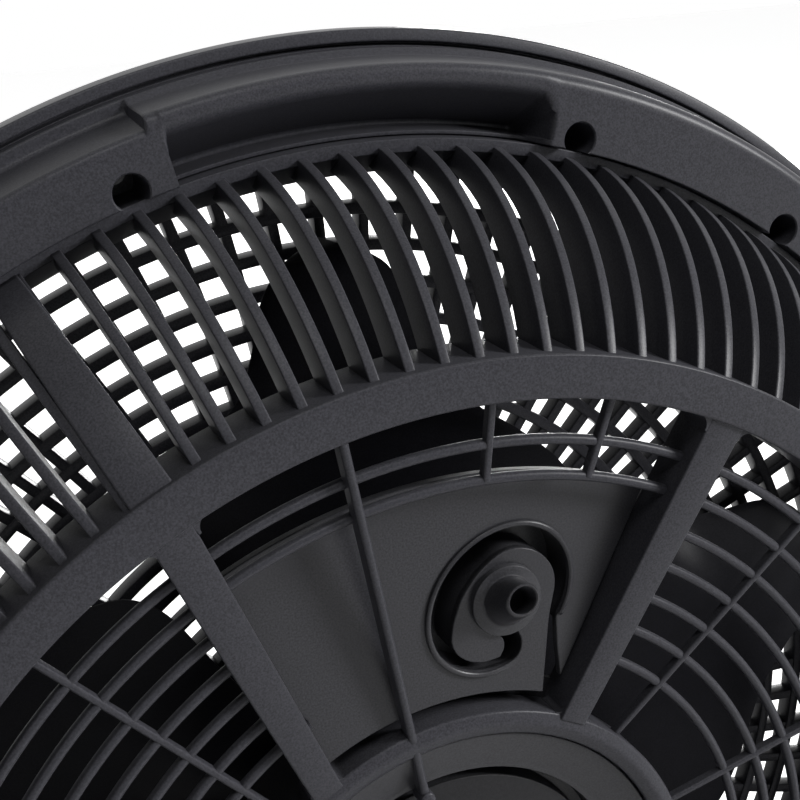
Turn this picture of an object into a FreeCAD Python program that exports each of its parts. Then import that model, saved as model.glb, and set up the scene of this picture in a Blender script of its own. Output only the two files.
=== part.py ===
import FreeCAD, Part
import os
import Sketcher

# Floor fan: a round head with a domed louvre grille, which tilts in a tube stand.
# Millimetres, +Z up, fan front towards -Y, origin on the floor under the tilt axis.
# Head pieces are drawn in the fan frame: x to the right as seen from behind, y up, z to the rear.

# Driving dimensions: name, value, meaning
SIZES = [
    ("axis_height", 305, "height of the fan axis and tilt axis above the floor"),
    ("seat_gap", 0.3, "gap left round a piece that drops into its seat"),
    ("run_gap", 0.05, "radial play of a turning fit"),
    ("wall", 3, "moulded wall thickness"),
    ("band_radius", 197, "outer radius of the flat band of the rear grille"),
    ("band_width", 13, "radial width of the flat band"),
    ("band_depth", 20, "depth of the flat band"),
    ("band_rear", 78, "rear face of the band behind the tilt axis"),
    ("ring_radius", 247, "outer radius of the rear grille's seat ring"),
    ("ring_wall", 4, "wall of the seat ring"),
    ("ring_depth", 20, "depth of the seat ring"),
    ("ring_rear", 8, "rear face of the seat ring"),
    ("fin_pitches", 120, "louvre places round the dome"),
    ("fin_wall", 2.4, "louvre thickness"),
    ("fin_bulge", 11, "rise of a louvre's rear edge above its chord"),
    ("fin_inset", 1.5, "step from the band's or ring's faces to the louvre ends"),
    ("strut_width", 13.6, "width of the struts across the dome"),
    ("spoke_width", 12.6, "width of the inner spokes"),
    ("spoke_depth", 15, "depth of the inner spokes"),
    ("sector_half", 27, "half angle of the top sector, degrees"),
    ("hub_radius", 86, "outer radius of the hub ring"),
    ("hub_width", 9, "radial width of the hub ring"),
    ("hub_rear", 64, "rear face of the hub ring"),
    ("hub_depth", 12, "depth of the hub ring"),
    ("rod_first", 173.5, "radius of the outermost guard rod"),
    ("rod_pitch", 10.4, "spacing of the guard rods"),
    ("rod_width", 3.2, "thickness of a guard rod"),
    ("rod_drop", 5, "depth of the guard rods below the spokes' rear faces"),
    ("rod_long", 14, "reach of the long rod inside the hub ring"),
    ("flange_radius", 262, "outer radius of the rear flange"),
    ("flange_rear", 12, "rear face of the flange"),
    ("wall_draft", 4, "outward slope of the shell wall"),
    ("lip_radius", 276, "outer radius of the shell lip"),
    ("lip_rear", -8, "rear face of the shell lip"),
    ("lip_depth", 6, "thickness of the shell lip"),
    ("handle_half", 15.3, "half angle of the handle bulge, degrees"),
    ("pocket_half", 13.8, "half angle of the finger pocket, degrees"),
    ("pocket_radius", 258, "outer radius of the finger pocket"),
    ("screw_circle", 254.5, "radius of the rim screw circle"),
    ("screw_bore", 5, "radius of the rim screw wells"),
    ("screw_tower", 7.5, "radius of the rim screw towers"),
    ("screw_floor", 5, "material left below a rim screw well"),
    ("screw_shank", 2, "radius of the screw shanks"),
    ("screw_head", 3.6, "radius of the screw heads"),
    ("head_depth", 3, "height of the screw heads"),
    ("boss_radius", 12.5, "radius of the tilt bosses"),
    ("boss_face", 284, "outer face of the tilt bosses"),
    ("boss_root", 257, "inner end of the tilt bosses"),
    ("bolt_radius", 4, "radius of the tilt bolts"),
    ("bolt_reach", 12, "length of a tilt bolt inside its boss"),
    ("bolt_head", 7.5, "radius of the tilt bolt heads"),
    ("bolt_head_depth", 5, "height of the tilt bolt heads"),
    ("washer_wall", 1.5, "thickness of the tilt washers"),
    ("washer_radius", 13, "outer radius of the tilt washers"),
    ("rim_radius", 280, "outer radius of the front bezel"),
    ("rim_depth", 22, "depth of the bezel's outer wall"),
    ("bezel_inner", 258, "inner radius of the front bezel"),
    ("bezel_front", -46, "front face of the bezel"),
    ("guard_radius", 257.7, "outer radius of the front grille"),
    ("guard_ring", 5, "width of the front grille's outer ring"),
    ("guard_crown", 28, "rise of the front grille to its middle"),
    ("guard_rib_depth", 6, "depth of the front ribs"),
    ("guard_rib_wall", 2.4, "thickness of the front ribs"),
    ("guard_ribs", 30, "number of front ribs"),
    ("disc_radius", 48, "radius of the front grille's middle disc"),
    ("cover_rear", 60, "rear face of the hub cover"),
    ("cover_front", 52, "front face of the hub cover"),
    ("plateau_radius", 58, "radius of the raised disc on the hub cover"),
    ("knob_radius", 21, "radius of the speed knob"),
    ("knob_height", 14, "height of the speed knob"),
    ("grip_width", 9, "width of the knob's finger grip"),
    ("spindle_radius", 3, "radius of the switch spindle"),
    ("switch_side", 26, "side of the switch body"),
    ("switch_depth", 12, "depth of the switch body"),
    ("grommet_radius", 6, "radius of the cord inlet hole"),
    ("motor_radius", 52, "outer radius of the motor housing"),
    ("motor_split", 14, "joint between the motor housing halves"),
    ("motor_front", -16, "front face of the motor"),
    ("bulkhead", 37, "rear face of the motor's rear bulkhead"),
    ("shaft_radius", 4, "radius of the motor shaft"),
    ("bearing_radius", 9, "outer radius of the bearings"),
    ("core_length", 24, "length of the motor cores"),
    ("core_bore", 26, "bore radius of the stator core"),
    ("air_gap", 0.6, "gap between rotor and stator"),
    ("coil_depth", 8, "overhang of the windings at each end"),
    ("coil_width", 14, "radial width of the windings"),
    ("blade_count", 5, "number of blades"),
    ("blade_radius", 216, "radius of the blade tips"),
    ("blade_wall", 2.4, "blade thickness"),
    ("blade_start", -2, "rest angle of the first blade, degrees from the top"),
    ("blade_plane", -37, "depth of the blade roots' middle"),
    ("blade_rake", 15, "rearward lean of the blade tips"),
    ("middle_radius", 125, "radius of the blades' middle section"),
    ("shoulder_radius", 190, "radius of the blades' shoulder section"),
    ("root_half", 18, "half width of the blades at the root"),
    ("middle_half", 38, "half width of the blades at the middle"),
    ("shoulder_half", 33, "half width of the blades at the shoulder"),
    ("tip_half", 14, "half width of the blades at the tip"),
    ("root_pitch", 34, "pitch of the blades at the root, degrees"),
    ("middle_pitch", 24, "pitch of the blades at the middle, degrees"),
    ("shoulder_pitch", 19, "pitch of the blades at the shoulder, degrees"),
    ("tip_pitch", 18, "pitch of the blades at the tip, degrees"),
    ("blade_hub", 44, "radius of the blade hub"),
    ("blade_hub_front", -54, "front face of the blade hub"),
    ("blade_hub_depth", 34, "depth of the blade hub"),
    ("nut_radius", 13, "radius of the blade nut"),
    ("nut_depth", 6, "height of the blade nut"),
    ("panel_rear", 60, "rear face of the sector panel"),
    ("panel_outer", 158, "outer radius of the sector panel"),
    ("tub_place", 116.5, "distance of the panel's tub above the axis"),
    ("tub_offset", 18, "distance of the panel's tub to the right of the axis"),
    ("tub_radius", 23, "inner radius of the panel's tub"),
    ("tub_depth", 12, "depth of the panel's tub"),
    ("tub_lip", 2, "height of the lip round the tub"),
    ("pad_radius", 15.5, "radius of the pad in the tub"),
    ("pad_rise", 9, "height of the pad"),
    ("post_offset", 5, "distance of the screw post to the right of the tub's middle"),
    ("tongue_width", 13, "width of the tongue from the pad to the panel"),
    ("hook_radius", 5, "radius of the hook cut into the pad"),
    ("post_radius", 10.5, "radius of the screw post's step"),
    ("post_step", 2, "height of the screw post's step"),
    ("post_foot", 8.5, "foot radius of the screw post's cone"),
    ("post_top", 5.5, "top radius of the screw post's cone"),
    ("post_height", 7, "height of the screw post's cone"),
    ("post_bore", 4, "radius of the hole in the screw post"),
    ("tube_radius", 9.5, "radius of the stand tubes"),
    ("tube_wall", 1.5, "wall of the stand tubes"),
    ("tube_bend", 60, "bend radius of the stand tubes"),
    ("stand_spread", 150, "distance of the floor tubes in front of and behind the tilt axis"),
    ("floor_axis", 12.5, "height of the floor tubes' axis"),
    ("leg_top", 22, "distance of the leg ends in front of and behind the tilt axis"),
    ("leg_drop", 25, "distance of the leg ends below the tilt axis"),
    ("plate_wall", 3, "thickness of the tilt plates"),
    ("plate_top", 17, "reach of the tilt plates above the tilt axis"),
    ("plate_foot", 80, "reach of the tilt plates below the tilt axis"),
    ("foot_length", 36, "length of a rubber foot"),
    ("foot_width", 28, "width of a rubber foot"),
    ("foot_place", 200, "distance of the feet from the middle"),
]

SCREW_ANGLES = (16.5, 36.5, 76.5, 116.5, 156.5)  # rim screws each side of the top, degrees
STRUT_ANGLES = (27, 153, 270)  # dome struts, degrees anticlockwise from the top, seen from behind
SIDE_SPOKES = (90, 153, 207, 270)  # inner spokes away from the top sector
RADIAL_RODS = (42, 70, 111, 132, 180, 228, 249, 290, 318)  # radial guard rods in the side sectors
SHORT_RODS = (-3, -15)  # short radial rods in the top sector
LONG_ROD = 11.3  # long radial rod that crosses the hub ring
ROD_COUNT = 7  # guard rods between hub and band
TOP_RODS = 2  # guard rods that cross the top sector too
GUARD_RINGS = 3  # rings of the front grille
# Blade sections from the hub outwards: name and radius
BLADE_STATIONS = [
    ("root", "(size.blade_hub - 2 * size.wall)"),
    ("middle", "size.middle_radius"),
    ("shoulder", "size.shoulder_radius"),
    ("tip", "size.blade_radius"),
]

doc = FreeCAD.newDocument("floor_fan")
sheet = doc.addObject("Spreadsheet::Sheet", "size")
for row, (alias, number, meaning) in enumerate(SIZES, start=1):
    sheet.set(f"A{row}", meaning)
    sheet.set(f"B{row}", str(number))
    sheet.setAlias(f"B{row}", alias)
doc.recompute()
probe = doc.addObject("App::FeaturePython", "probe")

REAR = FreeCAD.Rotation(FreeCAD.Vector(0, 1, 1), 180)


def value(expression):
    """Number that an expression over the sheet stands for."""
    return float(probe.evalExpression(str(expression)))


def body(label, head=True):
    """New body; a head piece is turned from the fan frame and lifted to the fan axis."""
    new = doc.addObject("PartDesign::Body", label)
    new.Label = label
    if head:
        new.Placement.Rotation = REAR
        new.setExpression("Placement.Base.z", "size.axis_height")
    return new


def plane(owner, role):
    """One of a body's own origin planes or axes."""
    return next(item for item in owner.Origin.OriginFeatures if item.Role == role)


def sketch(owner, name, role, lift="0", turn=None):
    """Empty sketch on an origin plane, lifted off it or turned about the body's z axis."""
    new = owner.newObject("Sketcher::SketchObject", name)
    new.AttachmentSupport = (plane(owner, role), "")
    new.MapMode = "FlatFace"
    new.setExpression("AttachmentOffset.Base.z", lift)
    if turn is not None:
        spin = FreeCAD.Rotation(FreeCAD.Vector(0, 1, 0), value(turn))
        new.AttachmentOffset = FreeCAD.Placement(FreeCAD.Vector(), spin)
        new.setExpression("AttachmentOffset.Rotation.Angle", turn)
    return new


def pin(target, geometry, end, place):
    """Hold one point of a sketch at a place given by two expressions."""
    for kind, expression in zip(("DistanceX", "DistanceY"), place):
        rule = Sketcher.Constraint(kind, -1, 1, geometry, end, value(expression))
        target.setExpression(f"Constraints[{target.addConstraint(rule)}]", str(expression))


def outline(target, corners):
    """Closed outline of straight lines through corners given as pairs of expressions."""
    points = [FreeCAD.Vector(value(x), value(y), 0) for x, y in corners]
    first = target.GeometryCount
    last = first + len(points) - 1
    for start, end in zip(points, points[1:] + points[:1]):
        target.addGeometry(Part.LineSegment(start, end))
    for line in range(first, last + 1):
        following = first if line == last else line + 1
        target.addConstraint(Sketcher.Constraint("Coincident", line, 2, following, 1))
        pin(target, line, 1, corners[line - first])


def disc(target, place, radius):
    """Circle at a place, both given as expressions."""
    centre = FreeCAD.Vector(value(place[0]), value(place[1]), 0)
    circle = target.addGeometry(Part.Circle(centre, FreeCAD.Vector(0, 0, 1), value(radius)))
    pin(target, circle, 3, place)
    rule = Sketcher.Constraint("Radius", circle, value(radius))
    target.setExpression(f"Constraints[{target.addConstraint(rule)}]", str(radius))


def around(angle, radius):
    """Place on a circle, its angle counted anticlockwise from the top, seen from behind."""
    return f"-{radius} * sin({angle})", f"{radius} * cos({angle})"


def revolve(owner, name, corners, angle="360", cut=False, turn=None):
    """Turn a closed section, radius and depth, about the fan axis."""
    section = sketch(owner, f"{name}_section", "XZ_Plane", turn=turn)
    outline(section, corners)
    feature = owner.newObject("PartDesign::Groove" if cut else "PartDesign::Revolution", name)
    feature.Profile = section
    feature.ReferenceAxis = (section, ["V_Axis"])
    feature.Midplane = True
    feature.setExpression("Angle", angle)
    return feature


def pad(owner, name, profile, length, midplane=False, back=False):
    """Raise a sketch into a solid."""
    feature = owner.newObject("PartDesign::Pad", name)
    feature.Profile = profile
    feature.Midplane = midplane
    feature.Reversed = back
    feature.setExpression("Length", length)
    return feature


def pocket(owner, name, profile, depth, back=False):
    """Sink a sketch into the solid."""
    feature = owner.newObject("PartDesign::Pocket", name)
    feature.Profile = profile
    feature.Reversed = back
    feature.setExpression("Length", depth)
    return feature


def repeat(owner, name, original, count, angle="360"):
    """Copies of a feature round the fan axis."""
    pattern = owner.newObject("PartDesign::PolarPattern", name)
    pattern.Originals = [original]
    pattern.Axis = (plane(owner, "Z_Axis"), [""])
    pattern.setExpression("Angle", angle)
    pattern.setExpression("Occurrences", count)
    owner.Tip = pattern
    return pattern


def box_section(outer, inner, rear, front):
    """Rectangular section between two radii and two depths."""
    return [(inner, front), (outer, front), (outer, rear), (inner, rear)]


def bar(owner, name, corners, width, angle):
    """Upright bar with the given side outline, at an angle anticlockwise from the top."""
    profile = sketch(owner, f"{name}_side", "XZ_Plane", turn=f"90 + {angle}")
    outline(profile, corners)
    return pad(owner, name, profile, width, midplane=True)


def louvre(owner, name, width, angle):
    """Deep curved slat from the band down to the seat ring, its rear edge an arc."""
    inner = "(size.band_radius - size.band_width / 4)"
    outer = "(size.ring_radius - size.ring_wall / 2)"
    high = "(size.band_rear - size.fin_inset)"
    low = "(size.ring_rear - size.fin_inset)"
    places = [(outer, low), (outer, "size.ring_rear - size.ring_depth + size.fin_inset"),
              (inner, "size.band_rear - size.band_depth + size.fin_inset"), (inner, high)]
    chord = f"sqrt(({outer} - {inner}) ^ 2 + ({high} - {low}) ^ 2)"
    radius = f"({chord} ^ 2 / 8 / size.fin_bulge + size.fin_bulge / 2)"
    side = sketch(owner, f"{name}_side", "XZ_Plane", turn=f"90 + {angle}")
    points = [FreeCAD.Vector(value(x), value(y), 0) for x, y in places]
    out = (points[0] - points[3]).cross(FreeCAD.Vector(0, 0, -1)).normalize()
    crown = (points[0] + points[3]) / 2 + out * value("size.fin_bulge")
    for start, end in zip(points, points[1:]):
        side.addGeometry(Part.LineSegment(start, end))
    rear = side.addGeometry(Part.Arc(points[0], crown, points[3]))
    for line in range(3):
        pin(side, line, 1, places[line])
    pin(side, 2, 2, places[3])
    for first, second in [((0, 2), (1, 1)), ((1, 2), (2, 1)), ((2, 2), (rear, 2)), ((rear, 1), (0, 1))]:
        side.addConstraint(Sketcher.Constraint("Coincident", *first, *second))
    rule = Sketcher.Constraint("Radius", rear, value(radius))
    side.setExpression(f"Constraints[{side.addConstraint(rule)}]", radius)
    return pad(owner, name, side, width, midplane=True)


def spoke_outline():
    """Side outline of an inner spoke, from the hub ring up to the band."""
    inner = "size.hub_radius - size.hub_width / 2"
    outer = "size.band_radius - size.band_width / 2"
    high = "size.band_rear - size.fin_inset / 3"
    low = "size.hub_rear - size.fin_inset / 3"
    return [(inner, low), (outer, high), (outer, f"{high} - size.spoke_depth"),
            (inner, f"{low} - size.hub_depth / 2")]


def rod_level(radius):
    """Rear face of the guard rods at a radius, a step below the sloping spokes."""
    hub = "(size.hub_radius - size.hub_width / 2)"
    band = "(size.band_radius - size.band_width / 2)"
    slope = f"(size.band_rear - size.hub_rear) / ({band} - {hub})"
    return f"(size.hub_rear + ({radius} - {hub}) * {slope} - size.rod_drop)"


def rod_outline(inner, outer, lift="0"):
    """Side outline of a radial guard rod that follows the slope of the spokes."""
    high = f"{rod_level(inner)} + {lift}"
    far = f"{rod_level(outer)} + {lift}"
    return [(inner, high), (outer, far),
            (outer, f"{far} - size.rod_width"), (inner, f"{high} - size.rod_width")]


def make_rear_grille():
    """Domed louvre grille: band, louvres, seat ring, struts, spokes, hub ring and guard rods."""
    grille = body("rear_grille")
    band_inner = "size.band_radius - size.band_width"
    revolve(grille, "band", box_section("size.band_radius", band_inner,
                                        "size.band_rear", "size.band_rear - size.band_depth"))
    for name, angle in [("left", "size.sector_half"), ("right", "-size.sector_half")]:
        bar(grille, f"spoke_{name}", spoke_outline(), "size.spoke_width", angle)
    for angle in SIDE_SPOKES:
        bar(grille, f"spoke_{angle}", spoke_outline(), "size.spoke_width", angle)
    revolve(grille, "hub_ring", box_section("size.hub_radius", "size.hub_radius - size.hub_width",
                                            "size.hub_rear", "size.hub_rear - size.hub_depth"))
    for rod in range(ROD_COUNT):
        middle = f"(size.rod_first - {rod} * size.rod_pitch)"
        section = box_section(f"{middle} + size.rod_width / 2", f"{middle} - size.rod_width / 2",
                              rod_level(middle), f"{rod_level(middle)} - size.rod_width")
        if rod < TOP_RODS:
            revolve(grille, f"rod_{rod}", section)
        else:
            revolve(grille, f"rod_{rod}", section, "360 - 2 * size.sector_half", turn="270")
    hub_edge = "size.hub_radius - size.hub_width / 2"
    band_edge = "size.band_radius - size.band_width / 2"
    under = "-size.rod_width / 2"
    for angle in RADIAL_RODS:
        bar(grille, f"radial_{angle}", rod_outline(hub_edge, band_edge, under), "size.rod_width", angle)
    last = f"size.rod_first - {TOP_RODS - 1} * size.rod_pitch"
    for number, angle in enumerate(SHORT_RODS):
        bar(grille, f"short_{number}", rod_outline(last, band_edge, under), "size.rod_width", angle)
    bar(grille, "long_rod", rod_outline("size.hub_radius - size.hub_width - size.rod_long", band_edge,
                                        "size.rod_drop"), "size.rod_width", LONG_ROD)
    for angle in STRUT_ANGLES:
        louvre(grille, f"strut_{angle}", "size.strut_width", angle)
    revolve(grille, "seat_ring", box_section("size.ring_radius", "size.ring_radius - size.ring_wall",
                                             "size.ring_rear", "size.ring_rear - size.ring_depth"))
    slat = louvre(grille, "louvre", "size.fin_wall", "180 / size.fin_pitches")
    repeat(grille, "louvres", slat, "size.fin_pitches")


def make_rear_shell():
    """Rear rim: flange, wall, lip, grille seat, handle with finger pocket, screw wells and tilt bosses."""
    shell = body("rear_shell")
    seat = "size.ring_radius + size.seat_gap"
    ledge = "size.ring_rear - size.ring_depth"
    foot = "size.flange_radius + size.wall_draft"
    lip_front = "size.lip_rear - size.lip_depth"
    under = "size.flange_rear - size.wall"
    revolve(shell, "rim", [
        (seat, "size.flange_rear"), ("size.flange_radius", "size.flange_rear"),
        (foot, "size.lip_rear"), ("size.lip_radius", "size.lip_rear"),
        ("size.lip_radius", lip_front), (f"{foot} - size.wall", lip_front),
        ("size.flange_radius - size.wall", under), (f"{seat} + size.wall", under),
        (f"{seat} + size.wall", f"{ledge} - size.wall"),
        ("size.ring_radius - size.ring_wall", f"{ledge} - size.wall"),
        ("size.ring_radius - size.ring_wall", ledge), (seat, ledge)])
    revolve(shell, "handle", [
        ("size.flange_radius - size.wall", under), ("size.flange_radius - size.wall", "size.flange_rear"),
        ("size.flange_radius + size.wall", "size.flange_rear"),
        ("size.lip_radius - size.wall", "size.lip_rear + 2 * size.wall"),
        ("size.lip_radius", "size.lip_rear"), (f"{foot} - size.wall / 2", "size.lip_rear")],
        "2 * size.handle_half", turn="90")
    revolve(shell, "finger_pocket", [
        ("size.ring_radius - size.wall", "size.ring_rear"),
        ("size.ring_radius - size.wall", "size.flange_rear + size.wall"),
        ("size.pocket_radius", "size.flange_rear + size.wall"), ("size.pocket_radius", lip_front),
        (f"{seat} + size.wall", lip_front), (f"{seat} + size.wall", under), (seat, "size.ring_rear")],
        "2 * size.pocket_half", cut=True, turn="90")
    towers = sketch(shell, "tower_places", "XY_Plane", lift=lip_front)
    wells = sketch(shell, "well_places", "XY_Plane", lift="size.flange_rear")
    shanks = sketch(shell, "shank_places", "XY_Plane", lift=lip_front)
    for angle in SCREW_ANGLES:
        for side in ("", "-"):
            disc(towers, around(f"{side}{angle}", "size.screw_circle"), "size.screw_tower")
            disc(wells, around(f"{side}{angle}", "size.screw_circle"), "size.screw_bore")
            disc(shanks, around(f"{side}{angle}", "size.screw_circle"), "size.screw_shank + size.run_gap")
    pad(shell, "towers", towers, f"{under} - ({lip_front})")
    pocket(shell, "wells", wells, "size.flange_rear - size.lip_rear + size.lip_depth - size.screw_floor")
    pocket(shell, "shank_holes", shanks, "size.screw_floor", back=True)
    boss_place = sketch(shell, "boss_place", "YZ_Plane", lift="size.boss_root")
    disc(boss_place, ("0", "0"), "size.boss_radius")
    boss = pad(shell, "boss", boss_place, "size.boss_face - size.boss_root")
    repeat(shell, "bosses", boss, "2")
    bore_place = sketch(shell, "bore_place", "YZ_Plane", lift="size.boss_face")
    disc(bore_place, ("0", "0"), "size.bolt_radius + size.run_gap")
    bore = pocket(shell, "bore", bore_place, "size.bolt_reach + size.wall")
    repeat(shell, "bores", bore, "2")


def make_front():
    """Bezel and front grille."""
    bezel = body("front_bezel")
    seat = "size.lip_rear - size.lip_depth"
    foot = "size.flange_radius + size.wall_draft"
    inside = "size.rim_radius - size.wall"
    revolve(bezel, "bezel", [
        (f"{foot} - size.wall", seat), (inside, seat), ("size.rim_radius", f"{seat} - size.wall"),
        ("size.rim_radius", f"{seat} - size.rim_depth"), ("size.lip_radius - size.wall", "size.bezel_front"),
        ("size.bezel_inner", "size.bezel_front"), ("size.bezel_inner", "size.bezel_front + size.wall"),
        ("size.lip_radius - 2 * size.wall", "size.bezel_front + size.wall"),
        (inside, f"{seat} - size.rim_depth + size.wall"), (inside, f"{seat} - size.wall"),
        (f"{foot} - size.wall", f"{seat} - size.wall")])
    guard = body("front_grille")
    rear = "size.bezel_front + size.guard_rib_depth"
    ring_inner = "size.guard_radius - size.guard_ring"
    revolve(guard, "guard_edge", box_section("size.guard_radius", ring_inner, rear, "size.bezel_front"))
    crown = f"{rear} - size.guard_crown"
    revolve(guard, "disc", box_section("size.disc_radius", "size.spindle_radius", crown,
                                       f"{crown} - size.guard_rib_depth - size.wall / 2"))
    span = "(size.guard_radius - size.guard_ring - size.disc_radius)"
    for ring in range(1, GUARD_RINGS + 1):
        middle = f"(size.disc_radius + {span} * {ring} / {GUARD_RINGS + 1})"
        high = f"({crown} + size.guard_crown * {span} * {ring} / {GUARD_RINGS + 1} / {span})"
        revolve(guard, f"guard_ring_{ring}", box_section(
            f"{middle} + size.guard_rib_wall / 2", f"{middle} - size.guard_rib_wall / 2",
            high, f"{high} - size.guard_rib_depth"))
    rib = bar(guard, "rib", [
        ("size.disc_radius - size.wall", crown), ("size.guard_radius - size.guard_ring / 2", rear),
        ("size.guard_radius - size.guard_ring / 2", "size.bezel_front"),
        ("size.disc_radius - size.wall", f"{crown} - size.guard_rib_depth")], "size.guard_rib_wall", "0")
    repeat(guard, "ribs", rib, "size.guard_ribs")


def make_hub():
    """Hub cover with its cord inlet, speed knob and switch."""
    cover = body("hub_cover")
    seat = "size.hub_radius - size.hub_width - size.seat_gap"
    well = "size.knob_radius + size.wall"
    floor = "(size.cover_front + size.wall)"
    revolve(cover, "cover", [
        ("size.spindle_radius + size.run_gap", "size.cover_front"), (seat, "size.cover_front"),
        (seat, f"{floor} + size.wall / 2"), ("size.plateau_radius + size.wall", f"{floor} + size.wall / 2"),
        ("size.plateau_radius", "size.cover_rear"), (f"{well} + size.wall", "size.cover_rear"),
        (well, floor), ("size.spindle_radius + size.run_gap", floor)])
    inlet_place = ("0", f"-({seat} + size.plateau_radius + size.wall) / 2")
    inlet = sketch(cover, "inlet_place", "XY_Plane", lift="size.cover_rear")
    disc(inlet, inlet_place, "size.grommet_radius")
    pocket(cover, "inlet", inlet, "size.cover_rear - size.cover_front")

    grommet = body("cord_grommet")
    neck = sketch(grommet, "neck_place", "XY_Plane", lift="size.cover_front")
    disc(neck, inlet_place, "size.grommet_radius - size.seat_gap")
    disc(neck, inlet_place, "size.grommet_radius / 2")
    pad(grommet, "neck", neck, f"{floor} + size.wall / 2 - size.cover_front")
    collar = sketch(grommet, "collar_place", "XY_Plane", lift=f"{floor} + size.wall / 2")
    disc(collar, inlet_place, "size.grommet_radius + size.wall / 2")
    disc(collar, inlet_place, "size.grommet_radius / 2")
    pad(grommet, "collar", collar, "size.wall")

    knob = body("speed_knob")
    seat_face = f"{floor} + size.seat_gap"
    dial = sketch(knob, "dial_place", "XY_Plane", lift=seat_face)
    disc(dial, ("0", "0"), "size.knob_radius")
    disc(dial, ("0", "0"), "size.spindle_radius")
    pad(knob, "dial", dial, "size.knob_height / 2")
    grip = sketch(knob, "grip_place", "XY_Plane", lift=f"{seat_face} + size.knob_height / 2")
    half = "size.knob_radius - size.wall / 2"
    outline(grip, [("-size.grip_width / 2", f"-({half})"), ("size.grip_width / 2", f"-({half})"),
                   ("size.grip_width / 3", half), ("-size.grip_width / 3", half)])
    pad(knob, "grip", grip, "size.knob_height / 2")

    spindle = body("switch_spindle")
    stem = sketch(spindle, "stem_place", "XY_Plane", lift="size.cover_front")
    disc(stem, ("0", "0"), "size.spindle_radius")
    pad(spindle, "stem", stem, f"{seat_face} + size.knob_height / 2 - size.cover_front")

    switch = body("switch_body")
    side = "size.switch_side / 2"
    case = sketch(switch, "case_place", "XY_Plane", lift="size.cover_front - size.switch_depth")
    outline(case, [(f"-{side}", f"-{side}"), (side, f"-{side}"), (side, side), (f"-{side}", side)])
    pad(switch, "case", case, "size.switch_depth")


def make_motor():
    """Motor: two housing halves, cores, windings, bearings and shaft."""
    bore = "size.bearing_radius + size.run_gap"
    skin = "size.motor_radius - size.wall"
    rear = body("motor_housing_rear")
    revolve(rear, "housing", [
        (bore, "size.bulkhead - size.wall"), (bore, "size.bulkhead"), (skin, "size.bulkhead"),
        (skin, "size.cover_front"), ("size.motor_radius", "size.cover_front"),
        ("size.motor_radius", "size.motor_split"), (skin, "size.motor_split"),
        (skin, "size.bulkhead - size.wall")])
    front = body("motor_housing_front")
    revolve(front, "housing", [
        (bore, "size.motor_front"), ("size.motor_radius", "size.motor_front"),
        ("size.motor_radius", "size.motor_split"), (skin, "size.motor_split"),
        (skin, "size.motor_front + size.wall"), (bore, "size.motor_front + size.wall")])
    middle = "(size.bulkhead - size.wall + size.motor_front + size.wall) / 2"
    core_rear = f"({middle} + size.core_length / 2)"
    core_front = f"({middle} - size.core_length / 2)"
    stator = body("stator_core")
    revolve(stator, "core", box_section(f"{skin} - size.run_gap", "size.core_bore", core_rear, core_front))
    coils = body("stator_windings")
    inner = "size.core_bore + size.wall"
    for name, high, low in [("rear", f"{core_rear} + size.coil_depth", core_rear),
                            ("front", core_front, f"{core_front} - size.coil_depth")]:
        revolve(coils, f"{name}_turns", box_section(f"{inner} + size.coil_width", inner, high, low))
    rotor = body("rotor_core")
    revolve(rotor, "core", box_section("size.core_bore - size.air_gap", "size.shaft_radius",
                                       core_rear, core_front))
    shaft_rear = "size.bulkhead + size.wall / 3"
    shaft = body("motor_shaft")
    rod = sketch(shaft, "rod_place", "XY_Plane", lift="size.blade_hub_front - size.nut_depth / 2")
    disc(rod, ("0", "0"), "size.shaft_radius")
    pad(shaft, "rod", rod, f"{shaft_rear} - size.blade_hub_front + size.nut_depth / 2")
    for name, low in [("rear_bearing", "size.bulkhead - size.wall"), ("front_bearing", "size.motor_front")]:
        bearing = body(name)
        revolve(bearing, "bush", box_section("size.bearing_radius", "size.shaft_radius + size.run_gap",
                                             f"{low} + size.wall", low))


def make_blade():
    """Blade wheel with twisted blades on a cup hub, and the nut that holds it."""
    wheel = body("fan_blade")
    hub_rear = "size.blade_hub_front + size.blade_hub_depth"
    inside = "size.blade_hub - size.wall"
    revolve(wheel, "hub", [
        ("size.shaft_radius", "size.blade_hub_front"), ("size.blade_hub", "size.blade_hub_front"),
        ("size.blade_hub", hub_rear), (inside, hub_rear), (inside, "size.blade_hub_front + size.wall"),
        ("size.shaft_radius", "size.blade_hub_front + size.wall")])
    stations = []
    turn = "(90 + size.blade_start)"
    for name, radius in BLADE_STATIONS:
        place = sketch(wheel, f"blade_{name}", "YZ_Plane", lift=f"{radius} * cos({turn})", turn=turn)
        place.setExpression("AttachmentOffset.Base.x", f"{radius} * sin({turn})")
        lean = f"({radius} - size.blade_hub) / (size.blade_radius - size.blade_hub)"
        middle = f"(size.blade_plane + size.blade_rake * {lean})"
        half = f"size.{name}_half"
        rise = f"{half} * tan(size.{name}_pitch)"
        thick = "size.blade_wall"
        outline(place, [(f"-{half}", f"{middle} + {rise} - {thick}"), (f"-{half}", f"{middle} + {rise}"),
                        (half, f"{middle} - {rise} + {thick}"), (half, f"{middle} - {rise}")])
        stations.append(place)
    blade = wheel.newObject("PartDesign::AdditiveLoft", "blade")
    blade.Profile = stations[0]
    blade.Sections = stations[1:]
    blade.Ruled = True
    repeat(wheel, "blades", blade, "size.blade_count")

    nut = body("blade_nut")
    hexagon = sketch(nut, "hexagon_place", "XY_Plane", lift="size.blade_hub_front - size.nut_depth")
    outline(hexagon, [(f"size.nut_radius * cos({60 * corner})", f"size.nut_radius * sin({60 * corner})")
                      for corner in range(6)])
    pad(nut, "hexagon", hexagon, "size.nut_depth")
    socket = sketch(nut, "socket_place", "XY_Plane", lift="size.blade_hub_front")
    disc(socket, ("0", "0"), "size.shaft_radius")
    pocket(nut, "socket", socket, "size.nut_depth / 2")


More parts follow.
